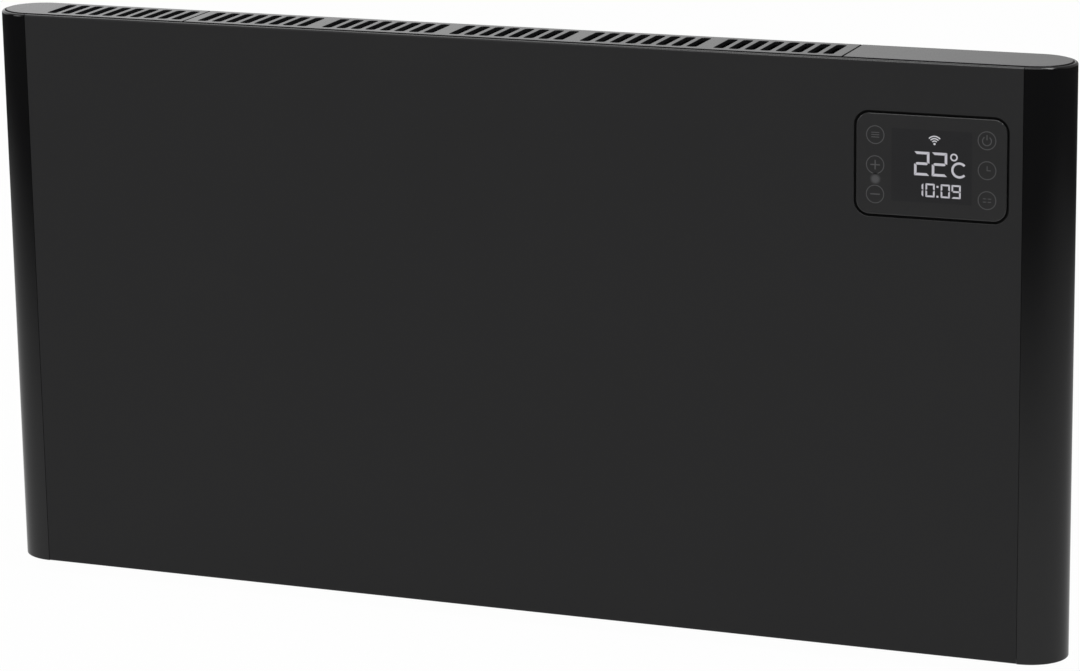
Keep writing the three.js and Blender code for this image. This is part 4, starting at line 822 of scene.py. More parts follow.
class Shape:
    """Closed surfaces, gathered in millimetres before they become one piece."""

    def __init__(self) -> None:
        """Starts with nothing."""
        self.points: list[Vector] = []
        self.faces: list[list[int]] = []

    def loft(self, rings: Sequence[Sequence[Vector]], closed: bool = False) -> "Shape":
        """Adds a skin over rings of equal length.

        Args:
            rings: Closed loops of points.
            closed: Whether the last ring joins the first; otherwise both ends are capped.

        Returns:
            The shape itself.
        """
        start, size = len(self.points), len(rings[0])
        for ring in rings:
            self.points.extend(ring)
        last = len(rings) if closed else len(rings) - 1
        for row in range(last):
            a, b = start + row * size, start + (row + 1) % len(rings) * size
            for i in range(size):
                j = (i + 1) % size
                self.faces.append([a + i, a + j, b + j, b + i])
        if not closed:
            self.faces.append([start + i for i in reversed(range(size))])
            self.faces.append([start + (len(rings) - 1) * size + i for i in range(size)])
        return self

    def prism(self, outline: Sequence[Pair], depths: Sequence[Pair], plane: Plane) -> "Shape":
        """Adds a prism whose outline may change with depth.

        Args:
            outline: Its outline.
            depths: Pairs of depth and inset, from levels().
            plane: How it lies.

        Returns:
            The shape itself.
        """
        return self.loft(
            [[plane.place(u, v, depth) for u, v in inset(outline, by)] for depth, by in depths]
        )

    def box(self, low: Sequence[float], high: Sequence[float], edge: float = 0.0) -> "Shape":
        """Adds a box between two corners.

        Args:
            low: Its lowest corner.
            high: Its highest corner.
            edge: Radius of its edges.

        Returns:
            The shape itself.
        """
        middle = [(a + b) / 2 for a, b in zip(low, high)]
        size = [b - a for a, b in zip(low, high)]
        if edge:
            outline = rounded(middle[0], middle[1], size[0], size[1], edge, 3)
        else:
            outline = [(low[0], low[1]), (high[0], low[1]), (high[0], high[1]), (low[0], high[1])]
        return self.prism(outline, levels(low[2], high[2], edge, edge, 2), Plane.TOP)

    def turned(
        self,
        profile: Sequence[Pair],
        origin: Sequence[float],
        axis: Sequence[float],
        sides: int = 40,
    ) -> "Shape":
        """Adds a turned solid.

        Args:
            profile: Closed outline in (radius, height); radii of 0 are kept just off the axis.
            origin: A point on its axis.
            axis: The axis' direction.
            sides: How many sides it has.

        Returns:
            The shape itself.
        """
        turn = Vector((0, 0, 1)).rotation_difference(Vector(axis)).to_matrix()
        rings = []
        for across, ahead in circle(0, 0, 1.0, sides):
            ring = []
            for radius, height in profile:
                reach = max(radius, AXIS)
                point = Vector((reach * across, reach * ahead, height))
                ring.append(Vector(origin) + turn @ point)
            rings.append(ring)
        return self.loft(rings, closed=True)

    def object(self, name: str) -> bpy.types.Object:
        """The shape as an object in metres, its faces pointing outwards.

        Args:
            name: The object's name.

        Returns:
            The object.
        """
        mesh = bpy.data.meshes.new(name)
        mesh.from_pydata([tuple(p * MM) for p in self.points], [], self.faces)
        work = bmesh.new()
        work.from_mesh(mesh)
        bmesh.ops.remove_doubles(work, verts=work.verts, dist=POLE)
        bare = [edge for edge in work.edges if not edge.link_faces]
        bmesh.ops.delete(work, geom=bare, context="EDGES")
        bmesh.ops.recalc_face_normals(work, faces=work.faces)
        work.to_mesh(mesh)
        work.free()
        return new_object(name, mesh)


def new_object(name: str, mesh: bpy.types.Mesh) -> bpy.types.Object:
    """Puts a mesh into the scene.

    Args:
        name: The object's name.
        mesh: Its mesh.

    Returns:
        The new object.
    """
    made = bpy.data.objects.new(name, mesh)
    bpy.context.scene.collection.objects.link(made)
    return made


def settled(host: bpy.types.Object, name: str) -> bpy.types.Object:
    """Turns an object with modifiers into a plain mesh.

    Args:
        host: The object, which is removed.
        name: The new object's name.

    Returns:
        The plain object.
    """
    host.name = f"{name}_work"
    bpy.context.view_layer.update()
    graph = bpy.context.evaluated_depsgraph_get()
    mesh = bpy.data.meshes.new_from_object(host.evaluated_get(graph), depsgraph=graph)
    mesh.name = name
    bpy.data.objects.remove(host)
    return new_object(name, mesh)


def carved(
    base: bpy.types.Object, tools: Iterable[bpy.types.Object], operation: str = "DIFFERENCE"
) -> bpy.types.Object:
    """Cuts tools out of an object, or joins them to it.

    Args:
        base: The object, which is used up.
        tools: The tools, which are used up too.
        operation: Blender's name of the operation.

    Returns:
        The result.
    """
    name, used = base.name, list(tools)
    for tool in used:
        modifier = base.modifiers.new("carve", "BOOLEAN")
        modifier.operation, modifier.solver, modifier.object = operation, "EXACT", tool
    made = settled(base, name)
    for tool in used:
        bpy.data.objects.remove(tool)
    return made


def smoothed(piece: bpy.types.Object, sharp: float = SHARP, edge: float = 0.0) -> bpy.types.Object:
    """Shades a piece smoothly between its sharp edges.

    Args:
        piece: The object, which is used up.
        sharp: Angle from which an edge is sharp, in degrees.
        edge: Width that is taken off each sharp edge first, in millimetres.

    Returns:
        The finished object.
    """
    if edge:
        bevel = piece.modifiers.new("edge", "BEVEL")
        bevel.width, bevel.segments = edge * MM, 2
        bevel.limit_method, bevel.angle_limit = "ANGLE", math.radians(sharp)
        bevel.use_clamp_overlap = True
    piece = settled(piece, piece.name)
    piece.data.shade_smooth()
    piece.data.set_sharp_from_angle(angle=math.radians(sharp))
    weighted = piece.modifiers.new("normals", "WEIGHTED_NORMAL")
    weighted.keep_sharp = True
    return settled(piece, piece.name)


def publish(
    piece: bpy.types.Object,
    finish: Finish,
    *nodes: str,
    body: str = HEATER,
    sharp: float = SHARP,
    edge: float = 0.0,
) -> bpy.types.Object:
    """Finishes a new piece, parents it to its body and hides the CAD nodes that it stands for.
        body: The body that it rides on.
        sharp: Angle from which its edges are sharp, in degrees.
        edge: Width taken off its sharp edges, in millimetres.

    Returns:
        The finished piece.
    """
    piece = smoothed(piece, sharp, edge)
    piece.data.materials.clear()
    piece.data.materials.append(finish.material())
    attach(piece, body)
    if nodes:
        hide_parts(*nodes)
    log.info("%s: %d faces, %s, on %s", piece.name, len(piece.data.polygons), finish.name, body)
    return piece


def eased_copy(node: str, name: str) -> bpy.types.Object:
    """A copy of a CAD node with joined vertices and plain flat faces.

    Args:
        node: The CAD node.
        name: The copy's name.

    Returns:
        The copy.
    """
    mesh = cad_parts[node].data.copy()
    mesh.name = name
    work = bmesh.new()
    work.from_mesh(mesh)
    bmesh.ops.remove_doubles(work, verts=work.verts, dist=SAME_POINT)
    flat = math.radians(0.5)
    bmesh.ops.dissolve_limit(work, angle_limit=flat, verts=work.verts, edges=work.edges)
    work.to_mesh(mesh)
    work.free()
    return new_object(name, mesh)


# ------------------------------------------------------------------------------
# Casing
# ------------------------------------------------------------------------------


@dataclass
class Casing:
    """Front and back panels, end profiles, top covers and underside of the heater.

    Attributes:
        half_height: Half the casing's height.
        front: Front face, as y.
        back: Back face, as y.
        seam: Joint between the panels and the end profiles, as x.
        half_seam: Half the width of that joint.
        end_width: Width of an end profile.
        sheet: Thickness of the panels.
        sheet_edge: Width taken off the edges of the back panel and the floor.
        rim: Width of the folded top edge, and thickness of an end profile's wall.
        rim_top: Top of that edge, a little below the covers.
        rim_bend: Outer rounding of that edge.
        rim_round: Inner rounding of it, and of the end profiles' lower edge.
        low_round: Rounding of the lower edge.
        ledge_depth: Top ledge below the rim.
        ledge_width: Width of that ledge.
        lip: Lower lip's width.
        opening: Middle, width, height and corner radius of the display's opening.
        opening_roll: How far the opening's edge is rolled inwards.
        opening_cut: How far its cutter reaches before and behind the front face.
        end_steps: Steps round an end profile.
        end_ledge: Thickness of its ledge.
        end_floor: Lower and upper face of its floor, above the casing's bottom.
        end_sweep: Angle from its middle to its floor's end, in degrees.
        tongue_reach: How far its front and its back tongue reach behind a panel.
        tongue_gap: From a panel's outer face to a tongue.
        tongue_sheet: Thickness of a tongue.
        tongue_ends: A tongue's ends, above the casing's bottom and below its top.
        boss: Middle of a screw boss, as x, its height from the middle, and its radius.
        boss_ends: Its ends, in front of the back face.
        pilot: Radius of its hole.
        pilot_ends: The hole's ends, in front of the back face; below 0 is behind it.
        cover_joint: Joint between top covers, as x, and its width.
        cover_thickness: Thickness of a cover.
        cover_inset: How far a cover stays inside the casing's outline.
        cover_edge: Rounding of a cover's upper edge.
        rail: From the casing's face to a cover's rail, the rail's thickness and its height.
        rail_end: How far a rail ends before the seam.
        clip: From a rail's end to a clip, the clip's length, and how far it stands out.
        clip_faces: A clip's lower and upper face, below the top.
        slot_size: Width, length and end radius of an air slot.
        slot_flare: How far a slot widens at the top.
        slot_cut: How far its cutter reaches below and above the top.
        slot_pitch: From one slot's middle to the next one's.
        slot_group: Slots in a group.
        group_space: Plate between two groups, with that between two slots added.
        first_slot: From the left seam to the first slot.
        slot_margin: Least plate between a slot and a joint.
    """

    half_height: float = 225.0
    front: float = -77.5
    back: float = -20.0
    seam: float = 403.0
    half_seam: float = 0.2
    end_width: float = 32.0
    sheet: float = 1.2
    sheet_edge: float = 0.25
    rim: float = 2.6
    rim_top: float = 224.3
    rim_bend: float = 1.9
    rim_round: float = 0.6
    low_round: float = 1.5
    ledge_depth: float = 3.0
    ledge_width: float = 4.5
    lip: float = 11.0
    opening: tuple[float, float, float, float, float] = (334.7, 147.4, 116.6, 79.0, 11.6)
    opening_roll: float = 0.45
    opening_cut: Pair = (2.0, 4.0)
    end_steps: int = 96
    end_ledge: float = 1.6
    end_floor: Pair = (3.0, 5.0)
    end_sweep: float = 89.4
    tongue_reach: Pair = (5.0, 12.0)
    tongue_gap: float = 1.5
    tongue_sheet: float = 1.6
    tongue_ends: Pair = (5.2, 8.2)
    boss: Triple = (397.0, 150.0, 4.0)
    boss_ends: Pair = (11.1, 2.3)
    pilot: float = 2.1
    pilot_ends: Pair = (13.0, -2.0)
    cover_joint: Pair = (266.4, 1.4)
    cover_thickness: float = 2.7
    cover_inset: float = 3.6
    cover_edge: float = 0.35
    rail: Triple = (7.4, 1.6, 9.0)
    rail_end: float = 0.6
    clip: Triple = (20.0, 18.0, 1.5)
    clip_faces: Pair = (6.3, 4.5)
    slot_size: Triple = (7.8, 38.0, 2.4)
    slot_flare: float = 0.3
    slot_cut: Pair = (6.0, 2.0)
    slot_pitch: float = 12.05
    slot_group: int = 8
    group_space: float = 17.6
    first_slot: float = 14.6
    slot_margin: float = 5.0

    @property
    def half_depth(self) -> float:
        """Half the casing's depth."""
        return (self.back - self.front) / 2

    @property
    def middle(self) -> float:
        """Middle of the casing's depth, as y."""
        return (self.front + self.back) / 2

    def rim_section(self) -> list[Pair]:
        """Outer face, folded rim and ledge, from the bottom up to the ledge.

        Returns:
            Their points in (depth, height).
        """
        top, bend, r = self.rim_top, self.rim_bend, self.rim_round
        ledge = self.half_height - self.ledge_depth
        return [
            *arc((bend, top - bend), (bend, bend), 180, 90, 8),
            *arc((self.rim - r, top - r), (r, r), 90, 0, 8),
            (self.rim, ledge),
            (self.rim + self.ledge_width, ledge),
        ]

    def panel_section(self) -> list[Pair]:
        """Section of a panel.

        Returns:
            Its points in (depth, height).
        """
        low, r = -self.half_height, self.low_round
        under_ledge = self.half_height - self.ledge_depth - self.sheet
        return [
            (self.lip, low),
            *arc((r, low + r), (r, r), 270, 180, 10),
            *self.rim_section(),
            (self.rim + self.ledge_width, under_ledge),
            (self.sheet, under_ledge),
            (self.sheet, low + self.sheet),
            (self.lip, low + self.sheet),
        ]

    def panel(self, name: str, face: float, inward: int) -> bpy.types.Object:
        """A plain panel without its openings.

        Args:
            name: The piece's name.
            face: Its outer face, as y.
            inward: Sign of y towards the other panel.

        Returns:
            The panel.
        """
        end = self.seam - self.half_seam
        section = [(face + inward * depth, height) for depth, height in self.panel_section()]
        return Shape().prism(section, levels(-end, end), Plane.SIDE).object(name)

    def front_panel(self) -> None:
        """Front panel with the display's opening, its lip rolled a little inwards."""
        x, z, width, height, radius = self.opening
        roll, (before, behind) = -self.opening_roll, self.opening_cut
        depths = [(self.front - before, roll), *levels(self.front, self.front + behind, roll)]
        outline = rounded(x, z, width, height, radius, 16)
        window = Shape().prism(outline, depths, Plane.FRONT).object("display_window")
        panel = carved(self.panel("front_panel_sheet", self.front, 1), [window])
        publish(panel, ANTHRACITE, "front_panel")

    def back_panel(self) -> None:
        """Back panel with all its holes, its rim as low as the front panel's."""
        panel = eased_copy("back_panel", "back_panel_sheet")
        margin = 0.2
        above_ledge = self.half_height - self.ledge_depth + margin
        for point in panel.data.vertices:
            if point.co.z > above_ledge * MM:
                point.co.z -= (self.half_height - self.rim_top) * MM
        publish(panel, BLACK_STEEL, "back_panel", edge=self.sheet_edge)

    def end_section(self) -> list[Pair]:
        """Section of an end profile's wall.

        Returns:
            Its points in (depth, height).
        """
        low, r = -self.half_height, self.rim_round
        under_ledge = self.half_height - self.ledge_depth - self.end_ledge
        floor = low + self.end_floor[1]
        return [
            *arc((self.rim - r, low + r), (r, r), 360, 270, 6),
            *arc((r, low + r), (r, r), 270, 180, 6),
            *self.rim_section(),
            (self.rim + self.ledge_width, under_ledge),
            (self.rim, under_ledge),
            (self.rim, floor),
        ]

    def end_wall(self, side: Side) -> bpy.types.Object:
        """The wall of an end profile, with its rim and ledge.

        Args:
            side: Which end.

        Returns:
            The wall.
        """
        rings = []
        for i in range(self.end_steps + 1):
            share = 2 * i / self.end_steps - 1
            ring = []
            for depth, height in self.end_section():
                across = self.end_width - depth
                angle = share * math.acos(self.half_seam / across)
                x = self.seam + across * math.cos(angle)
                y = self.middle + (self.half_depth - depth) * math.sin(angle)
                ring.append(Vector((side.value * x, y, height)))
            rings.append(ring)
        return Shape().loft(rings).object(f"{side.word}_end_shell")

    def end_inside(self, side: Side) -> bpy.types.Object:
        """The floor and the two tongues of an end profile.

        Args:
            side: Which end.

        Returns:
            All three, as one object.
        """
        sign, bottom, half_wall = side.value, -self.half_height, self.rim / 2
        radii = (self.end_width - half_wall, self.half_depth - half_wall)
        floor = arc((0, self.middle), radii, -self.end_sweep, self.end_sweep, 48)
        outline = [(sign * (self.seam + x), y) for x, y in floor]
        depths = levels(*(bottom + face for face in self.end_floor))
        parts = Shape().prism(outline, depths, Plane.TOP)
        low, high = bottom + self.tongue_ends[0], self.half_height - self.tongue_ends[1]
        faces = (self.front + self.tongue_gap, self.back - self.tongue_gap - self.tongue_sheet)
        for reach, face in zip(self.tongue_reach, faces):
            near, far = sign * (self.seam + self.rim), sign * (self.seam - reach)
            corner = (max(near, far), face + self.tongue_sheet, high)
            parts.box((min(near, far), face, low), corner)
        return parts.object(f"{side.word}_end_inside")

    def end_profile(self, side: Side) -> None:
        """A rounded end: wall with its rim and ledge, floor, tongues and screw bosses.

        Args:
            side: Which end.
        """
        whole = carved(self.end_wall(side), [self.end_inside(side)], "UNION")
        bosses, pilots = Shape(), Shape()
        x, rise, radius = self.boss
        boss_depths = levels(*(self.back - end for end in self.boss_ends))
        pilot_depths = levels(*(self.back - end for end in self.pilot_ends))
        for level in (rise, -rise):
            bosses.prism(circle(side.value * x, level, radius), boss_depths, Plane.FRONT)
            hole = circle(side.value * x, level, self.pilot, 20)
            pilots.prism(hole, pilot_depths, Plane.FRONT)
        whole = carved(whole, [bosses.object("bosses")], "UNION")
        whole = carved(whole, [pilots.object("pilots")])
        publish(whole, GLOSS_BLACK, f"{side.word}_end_profile")

    def cover(
        self, name: str, outline: Sequence[Pair], rails: Pair, groups: Sequence[tuple[float, int]]
    ) -> None:
        """A top cover: plate with its air slots, two rails below it, and clips.

        Args:
            name: The CAD node's name.
            outline: The plate's outline from above.
            rails: Where its rails start and end, as x.
            groups: First slot's middle and number of slots in each group.
        """
        top = self.half_height
        under = top - self.cover_thickness
        plate = Shape().prism(outline, levels(under, top, 0, self.cover_edge), Plane.TOP)
        (offset, thickness, drop), (place, length, reach) = self.rail, self.clip
        clip_low, clip_high = (top - face for face in self.clip_faces)
        fixings = Shape()
        for face, inward in ((self.front, 1), (self.back, -1)):
            near, far = face + inward * offset, face + inward * (offset + thickness)
            tip, root = near - inward * reach, near + inward * thickness / 2
            corner = (rails[1], max(near, far), top - self.cover_thickness / 2)
            fixings.box((rails[0], min(near, far), under - drop), corner)
            for start in (rails[0] + place, rails[1] - place - length):
                corner = (start + length, max(tip, root), clip_high)
                fixings.box((start, min(tip, root), clip_low), corner)
        whole = carved(plate.object(f"{name}_plate"), [fixings.object("rails")], "UNION")
        for index, (first, count) in enumerate(groups):
            whole = self.slotted(whole, f"{name}_slots_{index}", first, count)
        whole.name = f"{name}_plate"
        publish(whole, SATIN_BLACK, name)

    def slotted(
        self, plate: bpy.types.Object, name: str, first: float, count: int
    ) -> bpy.types.Object:
        """Cuts one group of air slots with a recipe.

        Args:
            plate: The plate, which is used up.
            name: The recipe's name.
            first: Middle of the first slot, as x.
            count: How many slots there are.

        Returns:
            The slotted plate.
        """
        width, length, radius = self.slot_size
        top, flare, (below, above) = self.half_height, -self.slot_flare, self.slot_cut
        depths = [*levels(top - below, top, 0, flare), (top + above, flare)]
        outline = rounded(0, self.middle, width, length, radius, 8)
        cutter = Shape().prism(outline, depths, Plane.TOP).object("slot_cutter")
        recipe = Recipe(name)
        row = recipe.node(
            "GeometryNodeMeshLine",
            {"mode": "OFFSET"},
            {
                "Count": recipe.given("Slots", count, "Int"),
                "Start Location": recipe.given("First slot", (first * MM, 0, 0), "Vector"),
                "Offset": recipe.given("Pitch", (self.slot_pitch * MM, 0, 0), "Vector"),
            },
        )
        tool = recipe.node(
            "GeometryNodeObjectInfo", inputs={"Object": recipe.given("Slot", cutter, "Object")}
        )
        copies = recipe.node(
            "GeometryNodeInstanceOnPoints",
            inputs={"Points": row.outputs[0], "Instance": tool.outputs["Geometry"]},
        )
        tools = recipe.node("GeometryNodeRealizeInstances", inputs={0: copies.outputs[0]})
        cut = recipe.node(
            "GeometryNodeMeshBoolean",
            {"operation": "DIFFERENCE", "solver": "EXACT"},
            {"Mesh 1": recipe.base, "Mesh 2": tools.outputs[0]},
        )
        recipe.close(cut.outputs[0], SATIN_BLACK.material())
        made = recipe.bake(name, plate)
        bpy.data.objects.remove(cutter)
        return made

    def end_cover_outline(self, side: Side) -> list[Pair]:
        """Outline of an end cover: straight at its joint, rounded at the casing's end.

        Args:
            side: Which end.

        Returns:
            The outline, from above.
        """
        sign = side.value
        joint = sign * (self.cover_joint[0] + self.cover_joint[1] / 2)
        radii = (self.end_width - self.cover_inset, self.half_depth - self.cover_inset)
        curve = arc((0, self.middle), radii, -90, 90, 64)
        return [
            (joint, self.front + self.cover_inset),
            *((sign * (self.seam + x), y) for x, y in curve),
            (joint, self.back - self.cover_inset),
        ]

    def top(self) -> None:
        """The two end covers and the grille between them."""
        joint, gap = self.cover_joint
        width, end = self.slot_size[0], self.seam - self.rail_end
        first = -self.seam + self.first_slot + width / 2
        room = -joint - gap / 2 - self.slot_margin - width / 2 - first
        count = int(room // self.slot_pitch) + 1
        self.cover(
            "top_cover_left", self.end_cover_outline(Side.LEFT), (-end, -joint - gap),
            [(first, count)])
        self.cover(
            "top_cover_right", self.end_cover_outline(Side.RIGHT), (joint + gap, end), [])
        half = joint - gap / 2
        group_width = (self.slot_group - 1) * self.slot_pitch + width
        group_pitch = group_width + self.group_space - (self.slot_pitch - width)
        groups = int((2 * (half - self.slot_margin) - group_width) // group_pitch) + 1
        start = -((groups - 1) * group_pitch + group_width) / 2 + width / 2
        low, high = self.front + self.cover_inset, self.back - self.cover_inset
        self.cover(
            "top_grille", [(-half, low), (half, low), (half, high), (-half, high)],
            (-half + gap, half - gap),
            [(start + i * group_pitch, self.slot_group) for i in range(groups)])

    def build(self) -> None:
        """Makes the whole casing."""
        self.front_panel()
        self.back_panel()
        for side in Side:
            self.end_profile(side)
        self.top()
        for node in ("bottom_intake_grille", "bottom_connection_cover"):
            publish(eased_copy(node, f"{node}_sheet"), BLACK_STEEL, node, edge=self.sheet_edge)


# ------------------------------------------------------------------------------
# Display
# ------------------------------------------------------------------------------


@dataclass(frozen=True)
class Bow:
    """An arc of constant width on the display, or a whole ring.

    Attributes:
        centre: Its middle in x and z.
        radii: Half axes of its middle line.
        angles: First and last angle, in degrees.
        width: Its width.
        steps: How many steps it takes.
    """

    centre: Pair
    radii: Pair
    angles: Pair
    width: float
    steps: int = 32


@dataclass(frozen=True)
class Figures:
    """A row of seven-segment figures on the screen.

    Attributes:
        text: The figures.
        places: Left edge of each, as x.
        foot: Their lower edge, as z.
        size: Width and height of each.
        width: Width of its segments.
    """

    text: str
    places: tuple[float, ...]
    foot: float
    size: Pair
    width: float


@dataclass(frozen=True)
class Key:
    """A touch key.

    Attributes:
        place: Its middle in x and z.
        width: Width of its sign's straight lines.
        lines: Both ends of each of those lines, in x and z from the key's middle.
        bow: The arc of its sign, if it has one.
    """

    place: Pair
    width: float
    lines: tuple[tuple[float, float, float, float], ...]
    bow: Bow | None = None


# Angles of a whole ring.
WHOLE = (0, 360)

# Signs of the keys: three lines, plus, minus, power, a clock's hands, four short bars.
KEYS = (
    Key((292.7, 169.0), 0.6, ((-3, -1.7, 3, -1.7), (-3, 0, 3, 0), (-3, 1.7, 3, 1.7))),
    Key((292.7, 146.7), 0.9, ((-3.6, 0, 3.6, 0), (0, 0.45, 0, 3.6), (0, -3.6, 0, -0.45))),
    Key((292.7, 124.8), 0.9, ((-3.6, 0, 3.6, 0),)),
    Key((376.3, 169.4), 0.7, ((0, 0.4, 0, 4.2),),
        Bow((376.3, 169.1), (3.3, 3.3), (125, 415), 0.7)),
    Key((376.6, 147.4), 0.6, ((0, -0.3, 0, 3.4), (0.3, 0, 2.8, 0))),
    Key((376.8, 125.3), 0.6, (
        (-3, -1.2, -0.6, -1.2), (0.6, -1.2, 3, -1.2), (-3, 1.2, -0.6, 1.2), (0.6, 1.2, 3, 1.2))),
)

# The temperature with its degree ring and unit, and the clock with its colon.
TEMPERATURE = Figures("22", (322.1, 335.4), 140.8, (11.5, 17.7), 1.9)
DEGREE = Bow((351.9, 155.6), (2.3, 2.3), WHOLE, 1.1)
UNIT = Bow((356.0, 146.25), (5.2, 5.1), (42, 318), 1.7)
CLOCK = Figures("1009", (322.2, 330.8, 342.2, 350.3), 125.1, (6.9, 10.1), 1.25)
COLON = ((339.8, 133.1), (339.8, 125.8))

# The wireless sign: its middle, its arcs' radii and angles, and the width of them all.
SIGN_MIDDLE = (337.3, 164.7)
SIGN_RADII = (2.2, 3.95, 5.65)
SIGN_ANGLES = (43, 137)
SIGN_WIDTH = 0.85

# Segments that a figure lights: a is the top one, b to f follow clockwise, g is the middle one.
LIT = {"0": "abcdef", "1": "bc", "2": "abged", "9": "abfgcd"}


@dataclass
class Display:
    """Touch display behind black glass.

    Attributes:
        middle: Middle of the glass in x and z.
        size: Width and height of the glass.
        radius: Its corners.
        front: The casing's front face, as y.
        glass: Thickness of the glass.
        glass_rounds: Rounding of its front and back edge.
        recess: How far the glass lies behind the front face.
        window: Middle and half size of the screen's window in x and z.
        window_colour: The window's colour.
        printed: Colour of the print behind the glass.
        film: How far printed forms stand before the glass and reach into it.
        key_radius: Radius of a touch key's ring, to the middle of its line.
        key_line: Width of that line.
        key_lamp: Middle of the keys' lamp in x and z, and its radius.
        segment_gap: Half the gap between two segments of a figure.
        dot: Side and corner radius of a dot of the colon.
        edge: Width taken off the edges of what lies behind the glass.
    """

    middle: Pair = (334.7, 147.4)
    size: Pair = (113.0, 75.4)
    radius: float = 10.0
    front: float = -77.5
    glass: float = 3.0
    glass_rounds: Pair = (0.9, 0.2)
    recess: float = 0.06
    window: tuple[float, float, float, float] = (335.2, 147.8, 30.2, 27.0)
    window_colour: Colour = (0.0258, 0.0258, 0.027)
    printed: Colour = (0.0305, 0.0305, 0.031)
    film: Pair = (0.03, 0.02)
    key_radius: float = 6.6
    key_line: float = 0.62
    key_lamp: Triple = (292.9, 136.0, 4.6)
    segment_gap: float = 0.12
    dot: Pair = (1.5, 0.3)
    edge: float = 0.2

    def face(self) -> None:
        """The glass, its front edge rounded."""
        outline = rounded(*self.middle, *self.size, self.radius, 20)
        depths = levels(self.front + self.recess, self.front + self.glass, *self.glass_rounds, 5)
        finish = PrintedGlass(
            "printed_glass", "black_glass", self.printed, 0.05,
            window=self.window, window_colour=self.window_colour)
        piece = Shape().prism(outline, depths, Plane.FRONT).object("display_glass_pane")
        publish(piece, finish, "display_glass")

    @property
    def film_faces(self) -> Pair:
        """Front and back of the printed forms, as y."""
        surface = self.front + self.recess
        return surface - self.film[0], surface + self.film[1]

    def stroke(self, shape: Shape, outline: Sequence[Pair]) -> None:
        """Adds a flat printed form on the glass.

        Args:
            shape: The shape to add it to.
            outline: The form in x and z.
        """
        shape.prism(outline, levels(*self.film_faces), Plane.FRONT)

    def bar(self, shape: Shape, start: Pair, end: Pair, width: float) -> None:
        """Adds a straight line with square ends.

        Args:
            shape: The shape to add it to.
            start: Its first end in x and z.
            end: Its other end.
            width: Its width.
        """
        along = Vector(end) - Vector(start)
        along.normalize()
        side = Vector((-along.y, along.x)) * width / 2
        first, last = Vector(start), Vector(end)
        corners = (first + side, first - side, last - side, last + side)
        self.stroke(shape, [tuple(corner) for corner in corners])

    def bow(self, shape: Shape, form: Bow) -> None:
        """Adds an arc of constant width, or a whole ring.

        Args:
            shape: The shape to add it to.
            form: The arc.
        """
        (wide, high), half, (first, last) = form.radii, form.width / 2, form.angles
        outer = arc(form.centre, (wide + half, high + half), first, last, form.steps)
        inner = arc(form.centre, (wide - half, high - half), first, last, form.steps)
        if last - first < 360:
            self.stroke(shape, [*outer, *reversed(inner)])
            return
        front, back = self.film_faces
        rings = [
            [Plane.FRONT.place(*point, front) for point in pair]
            + [Plane.FRONT.place(*point, back) for point in reversed(pair)]
            for pair in list(zip(outer, inner))[:-1]
        ]
        shape.loft(rings, closed=True)

    def segments(self, low: Pair, size: Pair, width: float) -> dict[str, list[Pair]]:
        """The seven segments of a figure.

        Args:
            low: The figure's lower left corner in x and z.
            size: Its width and height.
            width: Width of its segments.

        Returns:
            Each segment's outline, by its letter.
        """
        (x0, z0), gap, half = low, self.segment_gap, width / 2
        x1, z1, middle = x0 + size[0], z0 + size[1], z0 + size[1] / 2
        left, right = x0 + width + gap, x1 - width - gap
        forms = {
            "g": [
                (x0 + half + gap, middle), (left, middle + half), (right, middle + half),
                (x1 - half - gap, middle), (right, middle - half), (left, middle - half)],
        }
        for name, z, up in (("a", z1, -1), ("d", z0, 1)):
            inner = z + up * width
            forms[name] = [(x0 + gap, z), (x1 - gap, z), (right, inner), (left, inner)]
        upright = (
            ("f", x0, z1, 1, -1), ("b", x1, z1, -1, -1), ("e", x0, z0, 1, 1), ("c", x1, z0, -1, 1))
        for name, x, z, across, up in upright:
            inner = x + across * width
            forms[name] = [
                (x, z + up * gap), (inner, z + up * (width + gap)),
                (inner, middle - up * (half + gap)), (x, middle - up * gap)]
        return forms

    def figures(self, shape: Shape, row: Figures) -> None:
        """Adds a row of seven-segment figures.

        Args:
            shape: The shape to add them to.
            row: The figures.
        """
        for figure, x in zip(row.text, row.places):
            forms = self.segments((x, row.foot), row.size, row.width)
            for name in LIT[figure]:
                self.stroke(shape, forms[name])

    def keys(self) -> None:
        """Rings and signs of the touch keys."""
        shape, radii = Shape(), (self.key_radius, self.key_radius)
        for key in KEYS:
            self.bow(shape, Bow(key.place, radii, WHOLE, self.key_line, 48))
        for key in KEYS:
            if key.bow:
                self.bow(shape, key.bow)
            x, z = key.place
            for x0, z0, x1, z1 in key.lines:
                self.bar(shape, (x + x0, z + z0), (x + x1, z + z1), key.width)
        finish = Moulded("key_print", "black_glass", (0.088, 0.088, 0.09), 0.3, level=0.3)
        publish(shape.object("touch_key_print"), finish)

    def lamp(self) -> None:
        """Soft round lamp window between the plus and minus keys."""
        x, z, radius = self.key_lamp
        finish = Halo(
            "lamp_window", "black_glass", (0.09, 0.09, 0.093), 0.25,
            level=0.4, middle=(x, z), radius=radius, edge=self.printed)
        shape = Shape()
        self.stroke(shape, circle(x, z, radius, 48))
        publish(shape.object("key_lamp_window"), finish)

